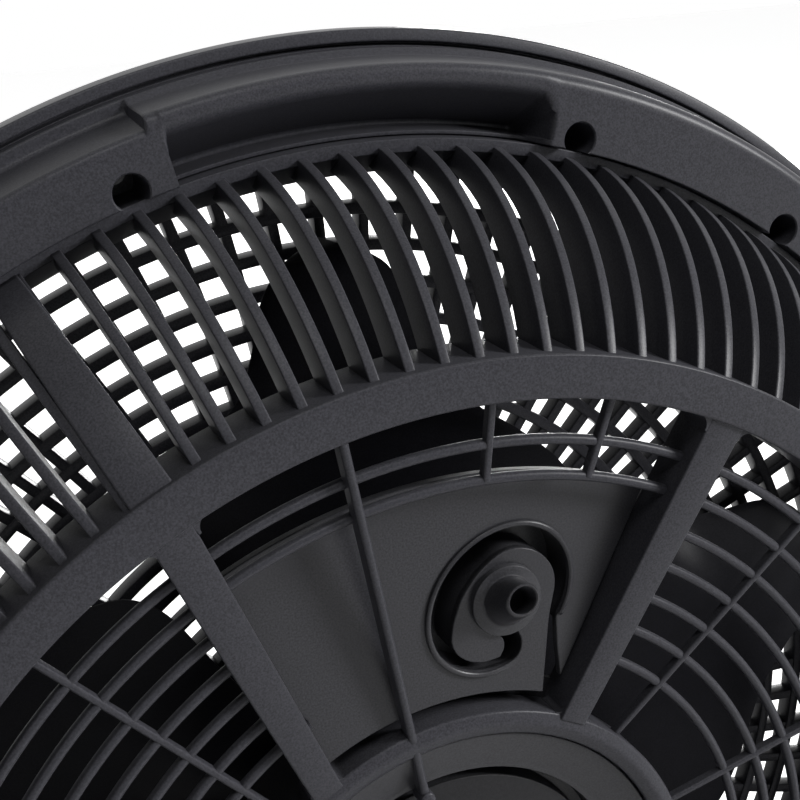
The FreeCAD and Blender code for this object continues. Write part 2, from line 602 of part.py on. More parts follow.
def make_panel():
    """Sector panel with a lipped tub, a tongue-shaped pad and a screw post, and the screw in the post."""
    panel = body("sector_panel")
    face = "size.panel_rear"
    inner = "size.hub_radius + size.seat_gap"
    trim = "(size.spoke_width / 2 + size.seat_gap)"
    revolve(panel, "plate", box_section("size.panel_outer", inner, face, f"{face} - size.wall"),
            "2 * size.sector_half", turn="90")
    for name, side in [("left", ""), ("right", "-")]:
        edge = sketch(panel, f"{name}_edge", "XZ_Plane", turn=f"90 + {side}size.sector_half")
        outline(edge, [("0", f"{face} - 2 * size.wall"), ("2 * size.panel_outer", f"{face} - 2 * size.wall"),
                       ("2 * size.panel_outer", f"{face} + size.wall"), ("0", f"{face} + size.wall")])
        relief = panel.newObject("PartDesign::Pocket", f"{name}_relief")
        relief.Profile = edge
        relief.Midplane = True
        relief.setExpression("Length", f"2 * {trim}")
    centre = ("size.tub_offset", "size.tub_place")
    post_place = ("size.tub_offset + size.post_offset", "size.tub_place")
    floor = f"{face} - size.tub_depth"
    wall = sketch(panel, "tub_wall", "XY_Plane", lift=f"{floor} - size.wall")
    disc(wall, centre, "size.tub_radius + size.wall")
    pad(panel, "tub", wall, "size.tub_depth + size.wall + size.tub_lip")
    hollow = sketch(panel, "tub_hollow", "XY_Plane", lift=f"{face} + size.tub_lip")
    disc(hollow, centre, "size.tub_radius")
    pocket(panel, "hollow", hollow, "size.tub_depth + size.tub_lip")
    island = sketch(panel, "pad_place", "XY_Plane", lift=floor)
    disc(island, post_place, "size.pad_radius")
    pad(panel, "pad", island, "size.pad_rise")
    tongue = sketch(panel, "tongue_place", "XY_Plane", lift=floor)
    right = "size.tub_offset + size.post_offset + size.pad_radius"
    low = "size.tub_place - size.tub_radius - size.wall / 2"
    outline(tongue, [(f"{right} - size.tongue_width", low), (right, low),
                     (right, "size.tub_place"), (f"{right} - size.tongue_width", "size.tub_place")])
    pad(panel, "tongue", tongue, "size.pad_rise")
    hook = sketch(panel, "hook_place", "XY_Plane", lift=f"{floor} + size.pad_rise")
    disc(hook, (f"{right} - size.tongue_width - size.hook_radius",
                "size.tub_place - size.post_radius - size.hook_radius"), "size.hook_radius")
    pocket(panel, "hook", hook, "size.pad_rise")
    step = sketch(panel, "step_place", "XY_Plane", lift=f"{floor} + size.pad_rise")
    disc(step, post_place, "size.post_radius")
    pad(panel, "post_step", step, "size.post_step")
    top = f"{floor} + size.pad_rise + size.post_step"
    post = panel.newObject("PartDesign::AdditiveCone", "post")
    post.setExpression("Radius1", "size.post_foot")
    post.setExpression("Radius2", "size.post_top")
    post.setExpression("Height", "size.post_height")
    post.setExpression("AttachmentOffset.Base.x", post_place[0])
    post.setExpression("AttachmentOffset.Base.y", "size.tub_place")
    post.setExpression("AttachmentOffset.Base.z", top)
    post.AttachmentSupport = (plane(panel, "XY_Plane"), "")
    post.MapMode = "FlatFace"
    hole = sketch(panel, "post_hole", "XY_Plane", lift=f"{top} + size.post_height")
    disc(hole, post_place, "size.post_bore")
    pocket(panel, "post_well", hole, "size.post_step + size.post_height")

    screw = body("panel_screw")
    head = sketch(screw, "head_place", "XY_Plane", lift=f"{floor} + size.pad_rise")
    disc(head, post_place, "size.post_bore - size.run_gap")
    pad(screw, "head", head, "size.head_depth")


def make_fasteners():
    """Rim screws at the bottom of their wells."""
    rim = body("rim_screws")
    floor = "size.lip_rear - size.lip_depth + size.screw_floor"
    heads = sketch(rim, "head_places", "XY_Plane", lift=floor)
    shanks = sketch(rim, "rim_shank_places", "XY_Plane", lift=floor)
    for angle in SCREW_ANGLES:
        for side in ("", "-"):
            disc(heads, around(f"{side}{angle}", "size.screw_circle"), "size.screw_head")
            disc(shanks, around(f"{side}{angle}", "size.screw_circle"), "size.screw_shank")
    pad(rim, "heads", heads, "size.head_depth")
    pad(rim, "shanks", shanks, "size.screw_floor", back=True)


def make_stand():
    """Tube stand: two bent tubes, tilt plates, bolts, washers and rubber feet."""
    half = "(size.boss_face + size.seat_gap + size.washer_wall + size.plate_wall + size.tube_radius)"
    rise = "(size.axis_height - size.leg_drop - size.floor_axis)"
    lean = "(size.stand_spread - size.leg_top)"
    length = f"sqrt({rise} ^ 2 + {lean} ^ 2)"
    for name, side in [("front", "-1"), ("rear", "1")]:
        tube = body(f"{name}_stand_tube", head=False)
        tube.Placement.Rotation = FreeCAD.Rotation(FreeCAD.Vector(float(side), 0, 0),
                                                   value(f"atan({lean} / {rise})"))
        tube.setExpression("Placement.Rotation.Angle", f"atan({lean} / {rise})")
        tube.setExpression("Placement.Base.y", f"{side} * size.stand_spread")
        tube.setExpression("Placement.Base.z", "size.floor_axis")
        path = sketch(tube, f"{name}_path", "XZ_Plane")
        bend_path(path, half, length)
        ring = sketch(tube, f"{name}_ring", "XY_Plane", lift=length)
        disc(ring, (f"-{half}", "0"), "size.tube_radius")
        disc(ring, (f"-{half}", "0"), "size.tube_radius - size.tube_wall")
        sweep = tube.newObject("PartDesign::AdditivePipe", f"{name}_tube")
        sweep.Profile = ring
        sweep.Spine = path

    plate_half = (f"(size.leg_top + (size.plate_foot - size.leg_drop) * {lean} / {rise}"
                  " + size.tube_radius / 2)")
    washer_face = "(size.boss_face + size.seat_gap)"
    plate_face = f"({washer_face} + size.washer_wall)"
    for name, side in [("left", -1), ("right", 1)]:
        plate = body(f"{name}_tilt_plate", head=False)
        plate.setExpression("Placement.Base.z", "size.axis_height")
        lift = plate_face if side > 0 else f"-{plate_face} - size.plate_wall"
        shape = sketch(plate, f"{name}_plate_place", "YZ_Plane", lift=lift)
        outline(shape, [("-size.plate_top", "size.plate_top / 2"), ("-size.plate_top / 2", "size.plate_top"),
                        ("size.plate_top / 2", "size.plate_top"), ("size.plate_top", "size.plate_top / 2"),
                        (plate_half, "-size.plate_foot"), (f"-{plate_half}", "-size.plate_foot")])
        disc(shape, ("0", "0"), "size.bolt_radius")
        pad(plate, f"{name}_plate", shape, "size.plate_wall")

    washers = body("tilt_washers", head=False)
    bolts = body("tilt_bolts", head=False)
    for owner in (washers, bolts):
        owner.setExpression("Placement.Base.z", "size.axis_height")
    ring = sketch(washers, "washer_place", "YZ_Plane", lift=washer_face)
    disc(ring, ("0", "0"), "size.washer_radius")
    disc(ring, ("0", "0"), "size.bolt_radius")
    washer = pad(washers, "washer", ring, "size.washer_wall")
    repeat(washers, "both_washers", washer, "2")
    stem = sketch(bolts, "stem_place", "YZ_Plane", lift="size.boss_face - size.bolt_reach")
    disc(stem, ("0", "0"), "size.bolt_radius")
    shank = pad(bolts, "bolt_stem", stem, f"size.bolt_reach + {plate_face} + size.plate_wall - size.boss_face")
    top = sketch(bolts, "cap_place", "YZ_Plane", lift=f"{plate_face} + size.plate_wall")
    disc(top, ("0", "0"), "size.bolt_head")
    cap = pad(bolts, "cap", top, "size.bolt_head_depth")
    other = bolts.newObject("PartDesign::Mirrored", "both_bolts")
    other.Originals = [shank, cap]
    other.MirrorPlane = (plane(bolts, "YZ_Plane"), [""])
    bolts.Tip = other

    feet = body("rubber_feet", head=False)
    section = sketch(feet, "foot_section", "YZ_Plane", lift="size.foot_place")
    hold = "size.foot_width / 2"
    crown = "size.floor_axis + size.tube_radius + size.wall"
    for side in ("-", ""):
        middle = f"{side}size.stand_spread"
        outline(section, [(f"{middle} - {hold}", "0"), (f"{middle} + {hold}", "0"),
                          (f"{middle} + {hold}", "size.floor_axis"), (f"{middle} + {hold} / 2", crown),
                          (f"{middle} - {hold} / 2", crown), (f"{middle} - {hold}", "size.floor_axis")])
        disc(section, (middle, "size.floor_axis"), "size.tube_radius + size.run_gap")
    foot = pad(feet, "foot", section, "size.foot_length", midplane=True)
    pair = feet.newObject("PartDesign::Mirrored", "both_feet")
    pair.Originals = [foot]
    pair.MirrorPlane = (plane(feet, "YZ_Plane"), [""])
    feet.Tip = pair


def bend_path(path, half, length):
    """U-shaped path of a stand tube: leg, bend, floor run, bend, leg."""
    bend = "size.tube_bend"
    places = [(f"-{half}", length), (f"-{half}", bend), (f"-{half} + {bend}", "0"),
              (f"{half} - {bend}", "0"), (half, bend), (half, length)]
    points = [FreeCAD.Vector(value(x), value(y), 0) for x, y in places]
    radius = value(bend)
    dip = radius * (1 - 0.5 ** 0.5)
    left = FreeCAD.Vector(points[1].x + dip, dip, 0)
    right = FreeCAD.Vector(points[4].x - dip, dip, 0)
    path.addGeometry(Part.LineSegment(points[0], points[1]))
    path.addGeometry(Part.Arc(points[1], left, points[2]))
    path.addGeometry(Part.LineSegment(points[2], points[3]))
    path.addGeometry(Part.Arc(points[3], right, points[4]))
    path.addGeometry(Part.LineSegment(points[4], points[5]))
    for line, start, end in [(0, 0, 1), (2, 2, 3), (4, 4, 5)]:
        pin(path, line, 1, places[start])
        pin(path, line, 2, places[end])
    for first, second in [((0, 2), (1, 1)), ((1, 2), (2, 1)), ((2, 2), (3, 1)), ((3, 2), (4, 1))]:
        path.addConstraint(Sketcher.Constraint("Coincident", *first, *second))
    for arc, middle in [(1, f"-{half} + {bend}"), (3, f"{half} - {bend}")]:
        rule = Sketcher.Constraint("DistanceX", -1, 1, arc, 3, value(middle))
        path.setExpression(f"Constraints[{path.addConstraint(rule)}]", middle)


def check():
    """Stop if any object failed or any sub-part is empty or broken."""
    for item in doc.Objects:
        if {"Invalid", "Error"} & set(item.State):
            raise RuntimeError(f"{item.Name} failed: {item.State}")
    for piece in doc.findObjects("PartDesign::Body"):
        if piece.Shape.isNull() or not piece.Shape.isValid():
            raise RuntimeError(f"{piece.Label} has no valid shape")


def export():
    """Write each sub-part to its own file."""
    os.makedirs("parts", exist_ok=True)
    for piece in doc.findObjects("PartDesign::Body"):
        piece.Shape.exportStep(f"parts/{piece.Label}.step")


for make in (make_rear_grille, make_rear_shell, make_front, make_hub, make_motor,
             make_blade, make_panel, make_fasteners, make_stand):
    make()
    doc.recompute()
check()
export()
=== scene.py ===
"""Floor fan seen from behind: fine visible pieces, finishes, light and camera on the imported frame."""
import logging
import math
from dataclasses import dataclass, field
from enum import Enum
from functools import partial
from typing import Callable, Sequence

import bmesh
import bpy
from mathutils import Matrix, Vector


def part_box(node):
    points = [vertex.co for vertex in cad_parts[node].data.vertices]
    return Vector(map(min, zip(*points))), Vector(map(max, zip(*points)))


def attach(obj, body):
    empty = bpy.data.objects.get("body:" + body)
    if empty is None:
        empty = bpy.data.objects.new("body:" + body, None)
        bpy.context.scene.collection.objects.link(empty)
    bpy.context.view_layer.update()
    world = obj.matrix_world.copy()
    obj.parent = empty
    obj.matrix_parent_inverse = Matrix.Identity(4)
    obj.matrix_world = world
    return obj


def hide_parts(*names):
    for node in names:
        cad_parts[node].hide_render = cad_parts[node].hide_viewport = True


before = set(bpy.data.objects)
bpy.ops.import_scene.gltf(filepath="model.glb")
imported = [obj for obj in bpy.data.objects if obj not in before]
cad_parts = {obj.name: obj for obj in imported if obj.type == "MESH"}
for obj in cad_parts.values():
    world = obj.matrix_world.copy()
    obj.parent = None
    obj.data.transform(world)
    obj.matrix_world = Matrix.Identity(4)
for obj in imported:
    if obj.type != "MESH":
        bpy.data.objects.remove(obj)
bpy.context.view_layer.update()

log = logging.getLogger("floor_fan")

MM = 0.001  # the drafts are drawn in millimetres
AXIS = (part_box("rear_grille")[0].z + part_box("rear_grille")[1].z) / 2  # height of the fan axis, metres
CREASE = 35.0  # degrees; edges sharper than this stay sharp
EDGE_SHARE = 0.49  # share of an edge that a rounded corner may take
ASKEW = Vector((0.31, 0.17, 0.93))  # a way that no tube runs
DOME = ((0.0, 1.0), (0.28, 0.96), (0.42, 0.8), (0.5, 0.45))  # reach and width of a domed end, in tube radii
WHITE = (1.0, 1.0, 1.0, 1.0)

Place = tuple[float, float]
Corner = tuple[float, float, float]  # a place and its corner radius
Loop = list[Vector]


class Body(Enum):
    """Moving bodies of the frame."""

    STAND = "stand"
    HEAD = "head"
    KNOB = "knob"
    ROTOR = "rotor"


@dataclass(frozen=True)
class Sizes:
    """Sizes that several pieces share, in millimetres: radii, widths, and depths behind the tilt axis."""

    band_radius: float = 197.0
    band_rear: float = 78.0
    hub_radius: float = 81.0
    hub_width: float = 8.0
    spoke_width: float = 12.6
    spoke_lean: float = 7.6  # sideways step of the hub end of the left top spoke
    sector_half: float = 27.0  # degrees from the top to each top spoke
    seam: float = -14.0  # where the shell meets the bezel


SIZE = Sizes()


def place(u: float, v: float, w: float) -> Vector:
    """Point of the fan head in metres.

    Args:
        u: Millimetres to the right of the fan axis, seen from behind.
        v: Millimetres above the fan axis.
        w: Millimetres behind the tilt axis.
    Returns:
        The point in the frame that the CAD pieces are in.
    """
    return Vector((-u * MM, w * MM, AXIS + v * MM))


def polar(angle: float, radius: float, w: float, side: float = 0.0) -> Vector:
    """Point of the fan head, given by its angle.

    Args:
        angle: Degrees from the top, anticlockwise seen from behind.
        radius: Millimetres from the fan axis.
        w: Millimetres behind the tilt axis.
        side: Tangential step in millimetres, positive with the angle.
    Returns:
        The point in the frame that the CAD pieces are in.
    """
    turn = math.radians(angle)
    u = -radius * math.sin(turn) - side * math.cos(turn)
    v = radius * math.cos(turn) - side * math.sin(turn)
    return place(u, v, w)


def smooth(edge: float, far: float, x: float) -> float:
    """Smooth step from 0 at edge to 1 at far."""
    t = min(1.0, max(0.0, (x - edge) / (far - edge)))
    return t * t * (3 - 2 * t)


def circle(radius: float, count: int, middle: Place = (0.0, 0.0)) -> list[Place]:
    """Points of a circle about a middle."""
    turns = [math.tau * step / count for step in range(count)]
    return [(middle[0] + radius * math.cos(turn), middle[1] + radius * math.sin(turn)) for turn in turns]


def rounded(corners: Sequence[Corner], steps: int = 4) -> list[Place]:
    """Closed outline with each corner turned into an arc.

    Args:
        corners: Place and radius of each corner in order.
        steps: Segments of each arc.
    Returns:
        The outline's points, the same number for each corner.
    """
    points: list[Place] = []
    count = len(corners)
    for index, (x, y, radius) in enumerate(corners):
        here = Vector((x, y))
        back = Vector(corners[index - 1][:2]) - here
        ahead = Vector(corners[(index + 1) % count][:2]) - here
        half = back.angle(ahead, math.pi) / 2
        longest = EDGE_SHARE * back.length, EDGE_SHARE * ahead.length
        reach = min(radius / max(math.tan(half), 1e-4), *longest)
        start, end = here + back.normalized() * reach, here + ahead.normalized() * reach
        for step in range(steps + 1):
            t = step / steps
            point = start * (1 - t) ** 2 + here * (2 * t * (1 - t)) + end * t ** 2
            points.append((point.x, point.y))
    return points


class Draft:
    """Points and faces of one visible piece."""

    def __init__(self, name: str) -> None:
        """Starts an empty draft under the piece's name."""
        self.name = name
        self.points: Loop = []
        self.faces: list[tuple[int, ...]] = []

    def loft(self, loops: Sequence[Loop], ring: bool = False) -> None:
        """Skin over closed loops of equal length, closed at its ends.

        Args:
            loops: The loops in order.
            ring: True if the last loop joins the first.
        """
        start, size, count = len(self.points), len(loops[0]), len(loops)
        for loop in loops:
            self.points.extend(loop)
        for row in range(count if ring else count - 1):
            a, b = start + row * size, start + (row + 1) % count * size
            for column in range(size):
                after = (column + 1) % size
                self.faces.append((a + column, a + after, b + after, b + column))
        if not ring:
            last = start + (count - 1) * size
            self.faces.append(tuple(range(start + size - 1, start - 1, -1)))
            self.faces.append(tuple(range(last, last + size)))

    def lathe(self, profile: Sequence[Place], start: float = 0.0, stop: float = 360.0, steps: int = 240) -> None:
        """Closed section turned about the fan axis.

        Args:
            profile: Radius and depth of the section's points.
            start: First angle from the top.
            stop: Last angle from the top.
            steps: Segments of the turn.
        """
        full = stop - start >= 360.0
        angles = [start + (stop - start) * step / steps for step in range(steps if full else steps + 1)]
        self.loft([[polar(angle, r, w) for r, w in profile] for angle in angles], ring=full)

    def slat(self, angle: float, line: Sequence[tuple[Place, Place]], thick: float, edge: float,
             steps: int = 4, taper: float = 0.0, lean: float = 0.0) -> None:
        """Upright bar in the plane of an angle.

        Args:
            angle: Angle of the bar's plane from the top.
            line: Pairs of rear and front places, radius and depth, from the hub outwards.
            thick: Half of the bar's thickness.
            edge: Radius of the two rear edges.
            steps: Segments of each edge.
            taper: How much thinner each side is at the line's start.
            lean: Sideways step of the line's start.
        """
        loops = []
        for index, ends in enumerate(line):
            back = 1 - index / (len(line) - 1)
            half = thick - taper * back
            rear, front = Vector(ends[0]), Vector(ends[1])
            rise = rear - front
            section = [(0.0, -half)]
            for side in (-1, 1):
                for step in range(steps + 1):
                    t = math.pi / 2 * (step / steps if side < 0 else 1 - step / steps)
                    section.append((rise.length - edge + edge * math.sin(t),
                                    side * (half - edge + edge * math.cos(t))))
            section.append((0.0, half))
            loop = []
            for up, side in section:
                spot = front + rise.normalized() * up
                loop.append(polar(angle, spot.x, spot.y, side + lean * back))
            loops.append(loop)
        self.loft(loops)

    def tube(self, path: Loop, radius: float, sides: int) -> None:
        """Round tube with domed ends.

        Args:
            path: Points of the tube's middle line in metres.
            radius: Radius in millimetres.
            sides: Segments round the tube.
        """
        loops = []
        for index, spot in enumerate(path):
            first, last = index == 0, index == len(path) - 1
            along = (path[min(index + 1, len(path) - 1)] - path[max(index - 1, 0)]).normalized()
            across = along.cross(ASKEW).normalized()
            other = along.cross(across)
            shape = [across * x + other * y for x, y in circle(1.0, sides)]
            sign = -1 if first else 1
            for reach, share in (DOME if first or last else DOME[:1])[::sign]:
                middle = spot + along * (sign * reach * radius * MM)
                loops.append([middle + way * (radius * share * MM) for way in shape])
        self.loft(loops)

    def prism(self, outline: Sequence[Place], low: float, high: float, edge: float,
              spot: Callable[[float, float, float], Vector]) -> None:
        """Plate with soft edges, its outline shrunk towards its middle at both faces.

        Args:
            outline: Closed outline.
            low: First face.
            high: Second face.
            edge: Size of the soft edges.
            spot: Turns outline place and height into a point.
        """
        middle = (sum(x for x, _ in outline) / len(outline), sum(y for _, y in outline) / len(outline))
        reach = max(math.dist(point, middle) for point in outline)
        slight = 0.3 * edge
        loops = []
        for level, inset in [(low, edge), (low + slight, slight), (low + edge, 0.0),
                             (high - edge, 0.0), (high - slight, slight), (high, edge)]:
            share = 1 - inset / reach
            loops.append([spot(middle[0] + (x - middle[0]) * share, middle[1] + (y - middle[1]) * share, level)
                          for x, y in outline])
        self.loft(loops)

    def mesh(self, crease: float = CREASE) -> bpy.types.Mesh:
        """Mesh of the draft with outward normals.

        Args:
            crease: Angle in degrees above which an edge stays sharp.
        Returns:
            The new mesh.
        """
        mesh = bpy.data.meshes.new(self.name)
        mesh.from_pydata(self.points, [], self.faces)
        work = bmesh.new()
        work.from_mesh(mesh)
        bmesh.ops.recalc_face_normals(work, faces=work.faces)
        work.to_mesh(mesh)
        work.free()
        mesh.shade_smooth()
        mesh.set_sharp_from_angle(angle=math.radians(crease))
        return mesh

    def build(self, finish: "Finish", body: Body, stands_for: Sequence[str] = (),
              crease: float = CREASE) -> bpy.types.Object:
        """Makes the draft's object and dresses it.

        Args:
            finish: Its finish.
            body: The moving body that it rides on.
            stands_for: CAD nodes that it is shown instead of.
            crease: Angle in degrees above which an edge stays sharp.
        Returns:
            The new object.
        """
        piece = bpy.data.objects.new(self.name, self.mesh(crease))
        bpy.context.scene.collection.objects.link(piece)
        piece.data.materials.append(finish.material())
        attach(piece, body.value)
        if stands_for:
            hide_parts(*stands_for)
        log.info("%s: %d points", self.name, len(self.points))
        return piece


def cut_away(piece: bpy.types.Object, cutter: Draft) -> None:
    """Cuts a draft's closed shapes out of a piece.

    Args:
        piece: The piece, which gets a new mesh.
        cutter: Shapes to take away.
    """
    tool = bpy.data.objects.new(cutter.name, cutter.mesh())
    bpy.context.scene.collection.objects.link(tool)
    cut = piece.modifiers.new("cut", "BOOLEAN")
    cut.operation = "DIFFERENCE"
    cut.solver = "EXACT"
    cut.object = tool
    graph = bpy.context.evaluated_depsgraph_get()
    result = bpy.data.meshes.new_from_object(piece.evaluated_get(graph))
    piece.modifiers.remove(cut)
    piece.data = result
    result.set_sharp_from_angle(angle=math.radians(CREASE))
    bpy.data.objects.remove(tool)


def soften(piece: bpy.types.Object, width: float, drawn: bool) -> None:
    """Rounds a piece's sharp edges with a bevel modifier.

    Args:
        piece: The piece.
        width: Width of the bevels in millimetres.
        drawn: True for a piece drawn here, False for one from the CAD model.
    """
    soft = piece.modifiers.new("soft_edges", "BEVEL")
    soft.width = width * MM
    soft.segments = 3
    soft.limit_method = "ANGLE"
    soft.angle_limit = math.radians(40)
    soft.use_clamp_overlap = not drawn
    soft.harden_normals = drawn


def feed(tree: bpy.types.NodeTree, node: bpy.types.Node, inputs: dict[str | int, object]) -> None:
    """Fills inputs of a node.

    Args:
        tree: The node's tree.
        node: The node.
        inputs: Sockets to link, or plain values to set, by the input's name or number.
    """
    for name, value in inputs.items():
        if isinstance(value, bpy.types.NodeSocket):
            tree.links.new(value, node.inputs[name])
        else:
            node.inputs[name].default_value = value


def add_node(tree: bpy.types.NodeTree, kind: str, inputs: dict[str | int, object],
             **settings: object) -> bpy.types.NodeOutputs:
    """Adds a node to a tree.

    Args:
        tree: The tree.
        kind: Type of the node.
        inputs: Sockets to link, or plain values to set, by the input's name or number.
        settings: Properties of the node, set before its inputs.
    Returns:
        The node's outputs.
    """
    node = tree.nodes.new(kind)
    for name, value in settings.items():
        setattr(node, name, value)
    feed(tree, node, inputs)
    return node.outputs


def grain_group() -> bpy.types.NodeTree:
    """Shared surface of the fan, made once: grain, soft mottling of the gloss, and dust on upward faces.

    Returns:
        The node group.
    """
    known = bpy.data.node_groups.get("surface_grain")
    if known:
        return known
    tree = bpy.data.node_groups.new("surface_grain", "ShaderNodeTree")
    for name, kind, value in [("Color", "NodeSocketColor", (0.03, 0.03, 0.03, 1.0)),
                              ("Roughness", "NodeSocketFloat", 0.5), ("Grain Scale", "NodeSocketFloat", 900.0),
                              ("Mottle", "NodeSocketFloat", 0.12), ("Dust", "NodeSocketFloat", 0.05)]:
        tree.interface.new_socket(name=name, in_out="INPUT", socket_type=kind).default_value = value
    for name, kind in [("Color", "NodeSocketColor"), ("Roughness", "NodeSocketFloat"),
                       ("Height", "NodeSocketFloat")]:
        tree.interface.new_socket(name=name, in_out="OUTPUT", socket_type=kind)
    add = partial(add_node, tree)
    entry = add("NodeGroupInput", {})
    where = add("ShaderNodeTexCoord", {})["Object"]
    grain = add("ShaderNodeTexNoise", {"Vector": where, "Scale": entry["Grain Scale"], "Detail": 3.0})["Fac"]

    broad = add("ShaderNodeTexNoise", {"Vector": where, "Scale": 22.0, "Detail": 5.0})["Fac"]
    swing = add("ShaderNodeMapRange", {"Value": broad, "To Min": -1.0})["Result"]
    rough = add("ShaderNodeMath", {0: swing, 1: entry["Mottle"], 2: entry["Roughness"]},
                operation="MULTIPLY_ADD")["Value"]

    normal = add("ShaderNodeNewGeometry", {})["Normal"]
    upward = add("ShaderNodeSeparateXYZ", {"Vector": normal})["Z"]
    settled = add("ShaderNodeMapRange", {"Value": upward, "From Min": 0.2})["Result"]
    speck = add("ShaderNodeMath", {0: settled, 1: grain}, operation="MULTIPLY")["Value"]
    dust = add("ShaderNodeMath", {0: speck, 1: entry["Dust"]}, operation="MULTIPLY")["Value"]

    fleck = add("ShaderNodeMapRange", {"Value": grain, "From Min": 0.3, "From Max": 0.7,
                                       "To Min": 0.66, "To Max": 1.34})["Result"]
    grained = add("ShaderNodeMix", {"Factor": 1.0, "A": entry["Color"], "B": fleck},
                  data_type="RGBA", blend_type="MULTIPLY", clamp_result=False)["Result"]
    dusty = add("ShaderNodeMix", {"Factor": dust, "A": grained, "B": (0.30, 0.30, 0.31, 1.0)},
                data_type="RGBA")["Result"]
    add("NodeGroupOutput", {"Color": dusty, "Roughness": rough, "Height": grain})
    return tree


@dataclass(frozen=True)
class Finish:
    """One material: its slot in the record and how its surface looks."""

    slot: str
    color: tuple[float, float, float]
    roughness: float = 0.5
    metallic: float = 0.0
    specular: float = 0.4
    grain_scale: float = 1700.0
    grain_depth: float = 0.06
    grain_height: float = 0.0005  # metres
    mottle: float = 0.10
    dust: float = 0.06
    name: str = ""

    def material(self) -> bpy.types.Material:
        """The finish's material, made once.

        Returns:
            The material.
        """
        name = self.name or f"{self.slot}_finish"
        known = bpy.data.materials.get(name)
        if known:
            return known
        made = bpy.data.materials.new(name)
        made.use_nodes = True
        tree = made.node_tree
        surface = add_node(tree, "ShaderNodeGroup", {
            "Color": (*self.color, 1.0), "Roughness": self.roughness, "Grain Scale": self.grain_scale,
            "Mottle": self.mottle, "Dust": self.dust}, node_tree=grain_group())
        bump = add_node(tree, "ShaderNodeBump", {"Height": surface["Height"], "Strength": self.grain_depth,
                                                 "Distance": self.grain_height})
        feed(tree, tree.nodes["Principled BSDF"], {
            "Base Color": surface["Color"], "Roughness": surface["Roughness"], "Normal": bump["Normal"],
            "Metallic": self.metallic, "Specular IOR Level": self.specular})
        return made


SHELL = Finish("shell_plastic", (0.027, 0.027, 0.032), 0.34, specular=0.12)
GRILLE = Finish("grille_plastic", (0.027, 0.027, 0.032), 0.34, specular=0.10)
PANEL = Finish("panel_plastic", (0.022, 0.022, 0.025), 0.32, specular=0.14)
# the panel plastic made darker: painted shade on the hub's middle cap
CAP_PAINTED_SHADE = Finish("panel_plastic", (0.008, 0.008, 0.009), 0.5, specular=0.12, name="cap_painted_shade")
KNOB = Finish("knob_plastic", (0.024, 0.024, 0.026), 0.38, specular=0.5)
BLADE = Finish("blade_plastic", (0.008, 0.008, 0.010), 0.42, specular=0.05)
SWITCH = Finish("switch_plastic", (0.10, 0.10, 0.105), 0.5)
STAND = Finish("stand_steel", (0.024, 0.024, 0.026), 0.34, specular=0.5, grain_scale=520.0, grain_depth=0.08)
BOLT = Finish("bolt_steel", (0.55, 0.55, 0.56), 0.32, metallic=1.0, grain_scale=300.0)
SCREW = Finish("screw_steel", (0.05, 0.05, 0.052), 0.42, metallic=1.0, grain_scale=400.0)
WASHER = Finish("washer_nylon", (0.06, 0.06, 0.06), 0.55)
FOOT = Finish("foot_rubber", (0.018, 0.018, 0.018), 0.75, specular=0.3, grain_scale=600.0, grain_depth=0.2)
GROMMET = Finish("grommet_rubber", (0.018, 0.018, 0.018), 0.7, specular=0.3)
MOTOR = Finish("motor_metal", (0.05, 0.05, 0.054), 0.42, metallic=0.4)
CORE = Finish("core_steel", (0.35, 0.35, 0.36), 0.4, metallic=1.0, grain_scale=200.0)
COPPER = Finish("winding_copper", (0.60, 0.28, 0.12), 0.35, metallic=1.0, grain_scale=250.0)
BRASS = Finish("bearing_brass", (0.60, 0.48, 0.25), 0.3, metallic=1.0)

# finish of each CAD piece that stays in view, and the width of its bevels in millimetres
CAD_FINISHES = {
    "panel_screw": (SCREW, 0.0), "rim_screws": (SCREW, 0.0), "cord_grommet": (GROMMET, 0.6),
    "switch_body": (SWITCH, 0.0), "motor_housing_rear": (MOTOR, 1.2), "motor_housing_front": (MOTOR, 2.0),
    "stator_core": (CORE, 0.0), "stator_windings": (COPPER, 0.0), "rear_bearing": (BRASS, 0.0),
    "front_bearing": (BRASS, 0.0), "switch_spindle": (BOLT, 0.0), "motor_shaft": (BOLT, 0.0),
    "rotor_core": (CORE, 0.0), "blade_nut": (BLADE, 0.8), "tilt_washers": (WASHER, 0.3),
    "tilt_bolts": (BOLT, 1.0), "left_tilt_plate": (STAND, 0.8), "right_tilt_plate": (STAND, 0.8),
}


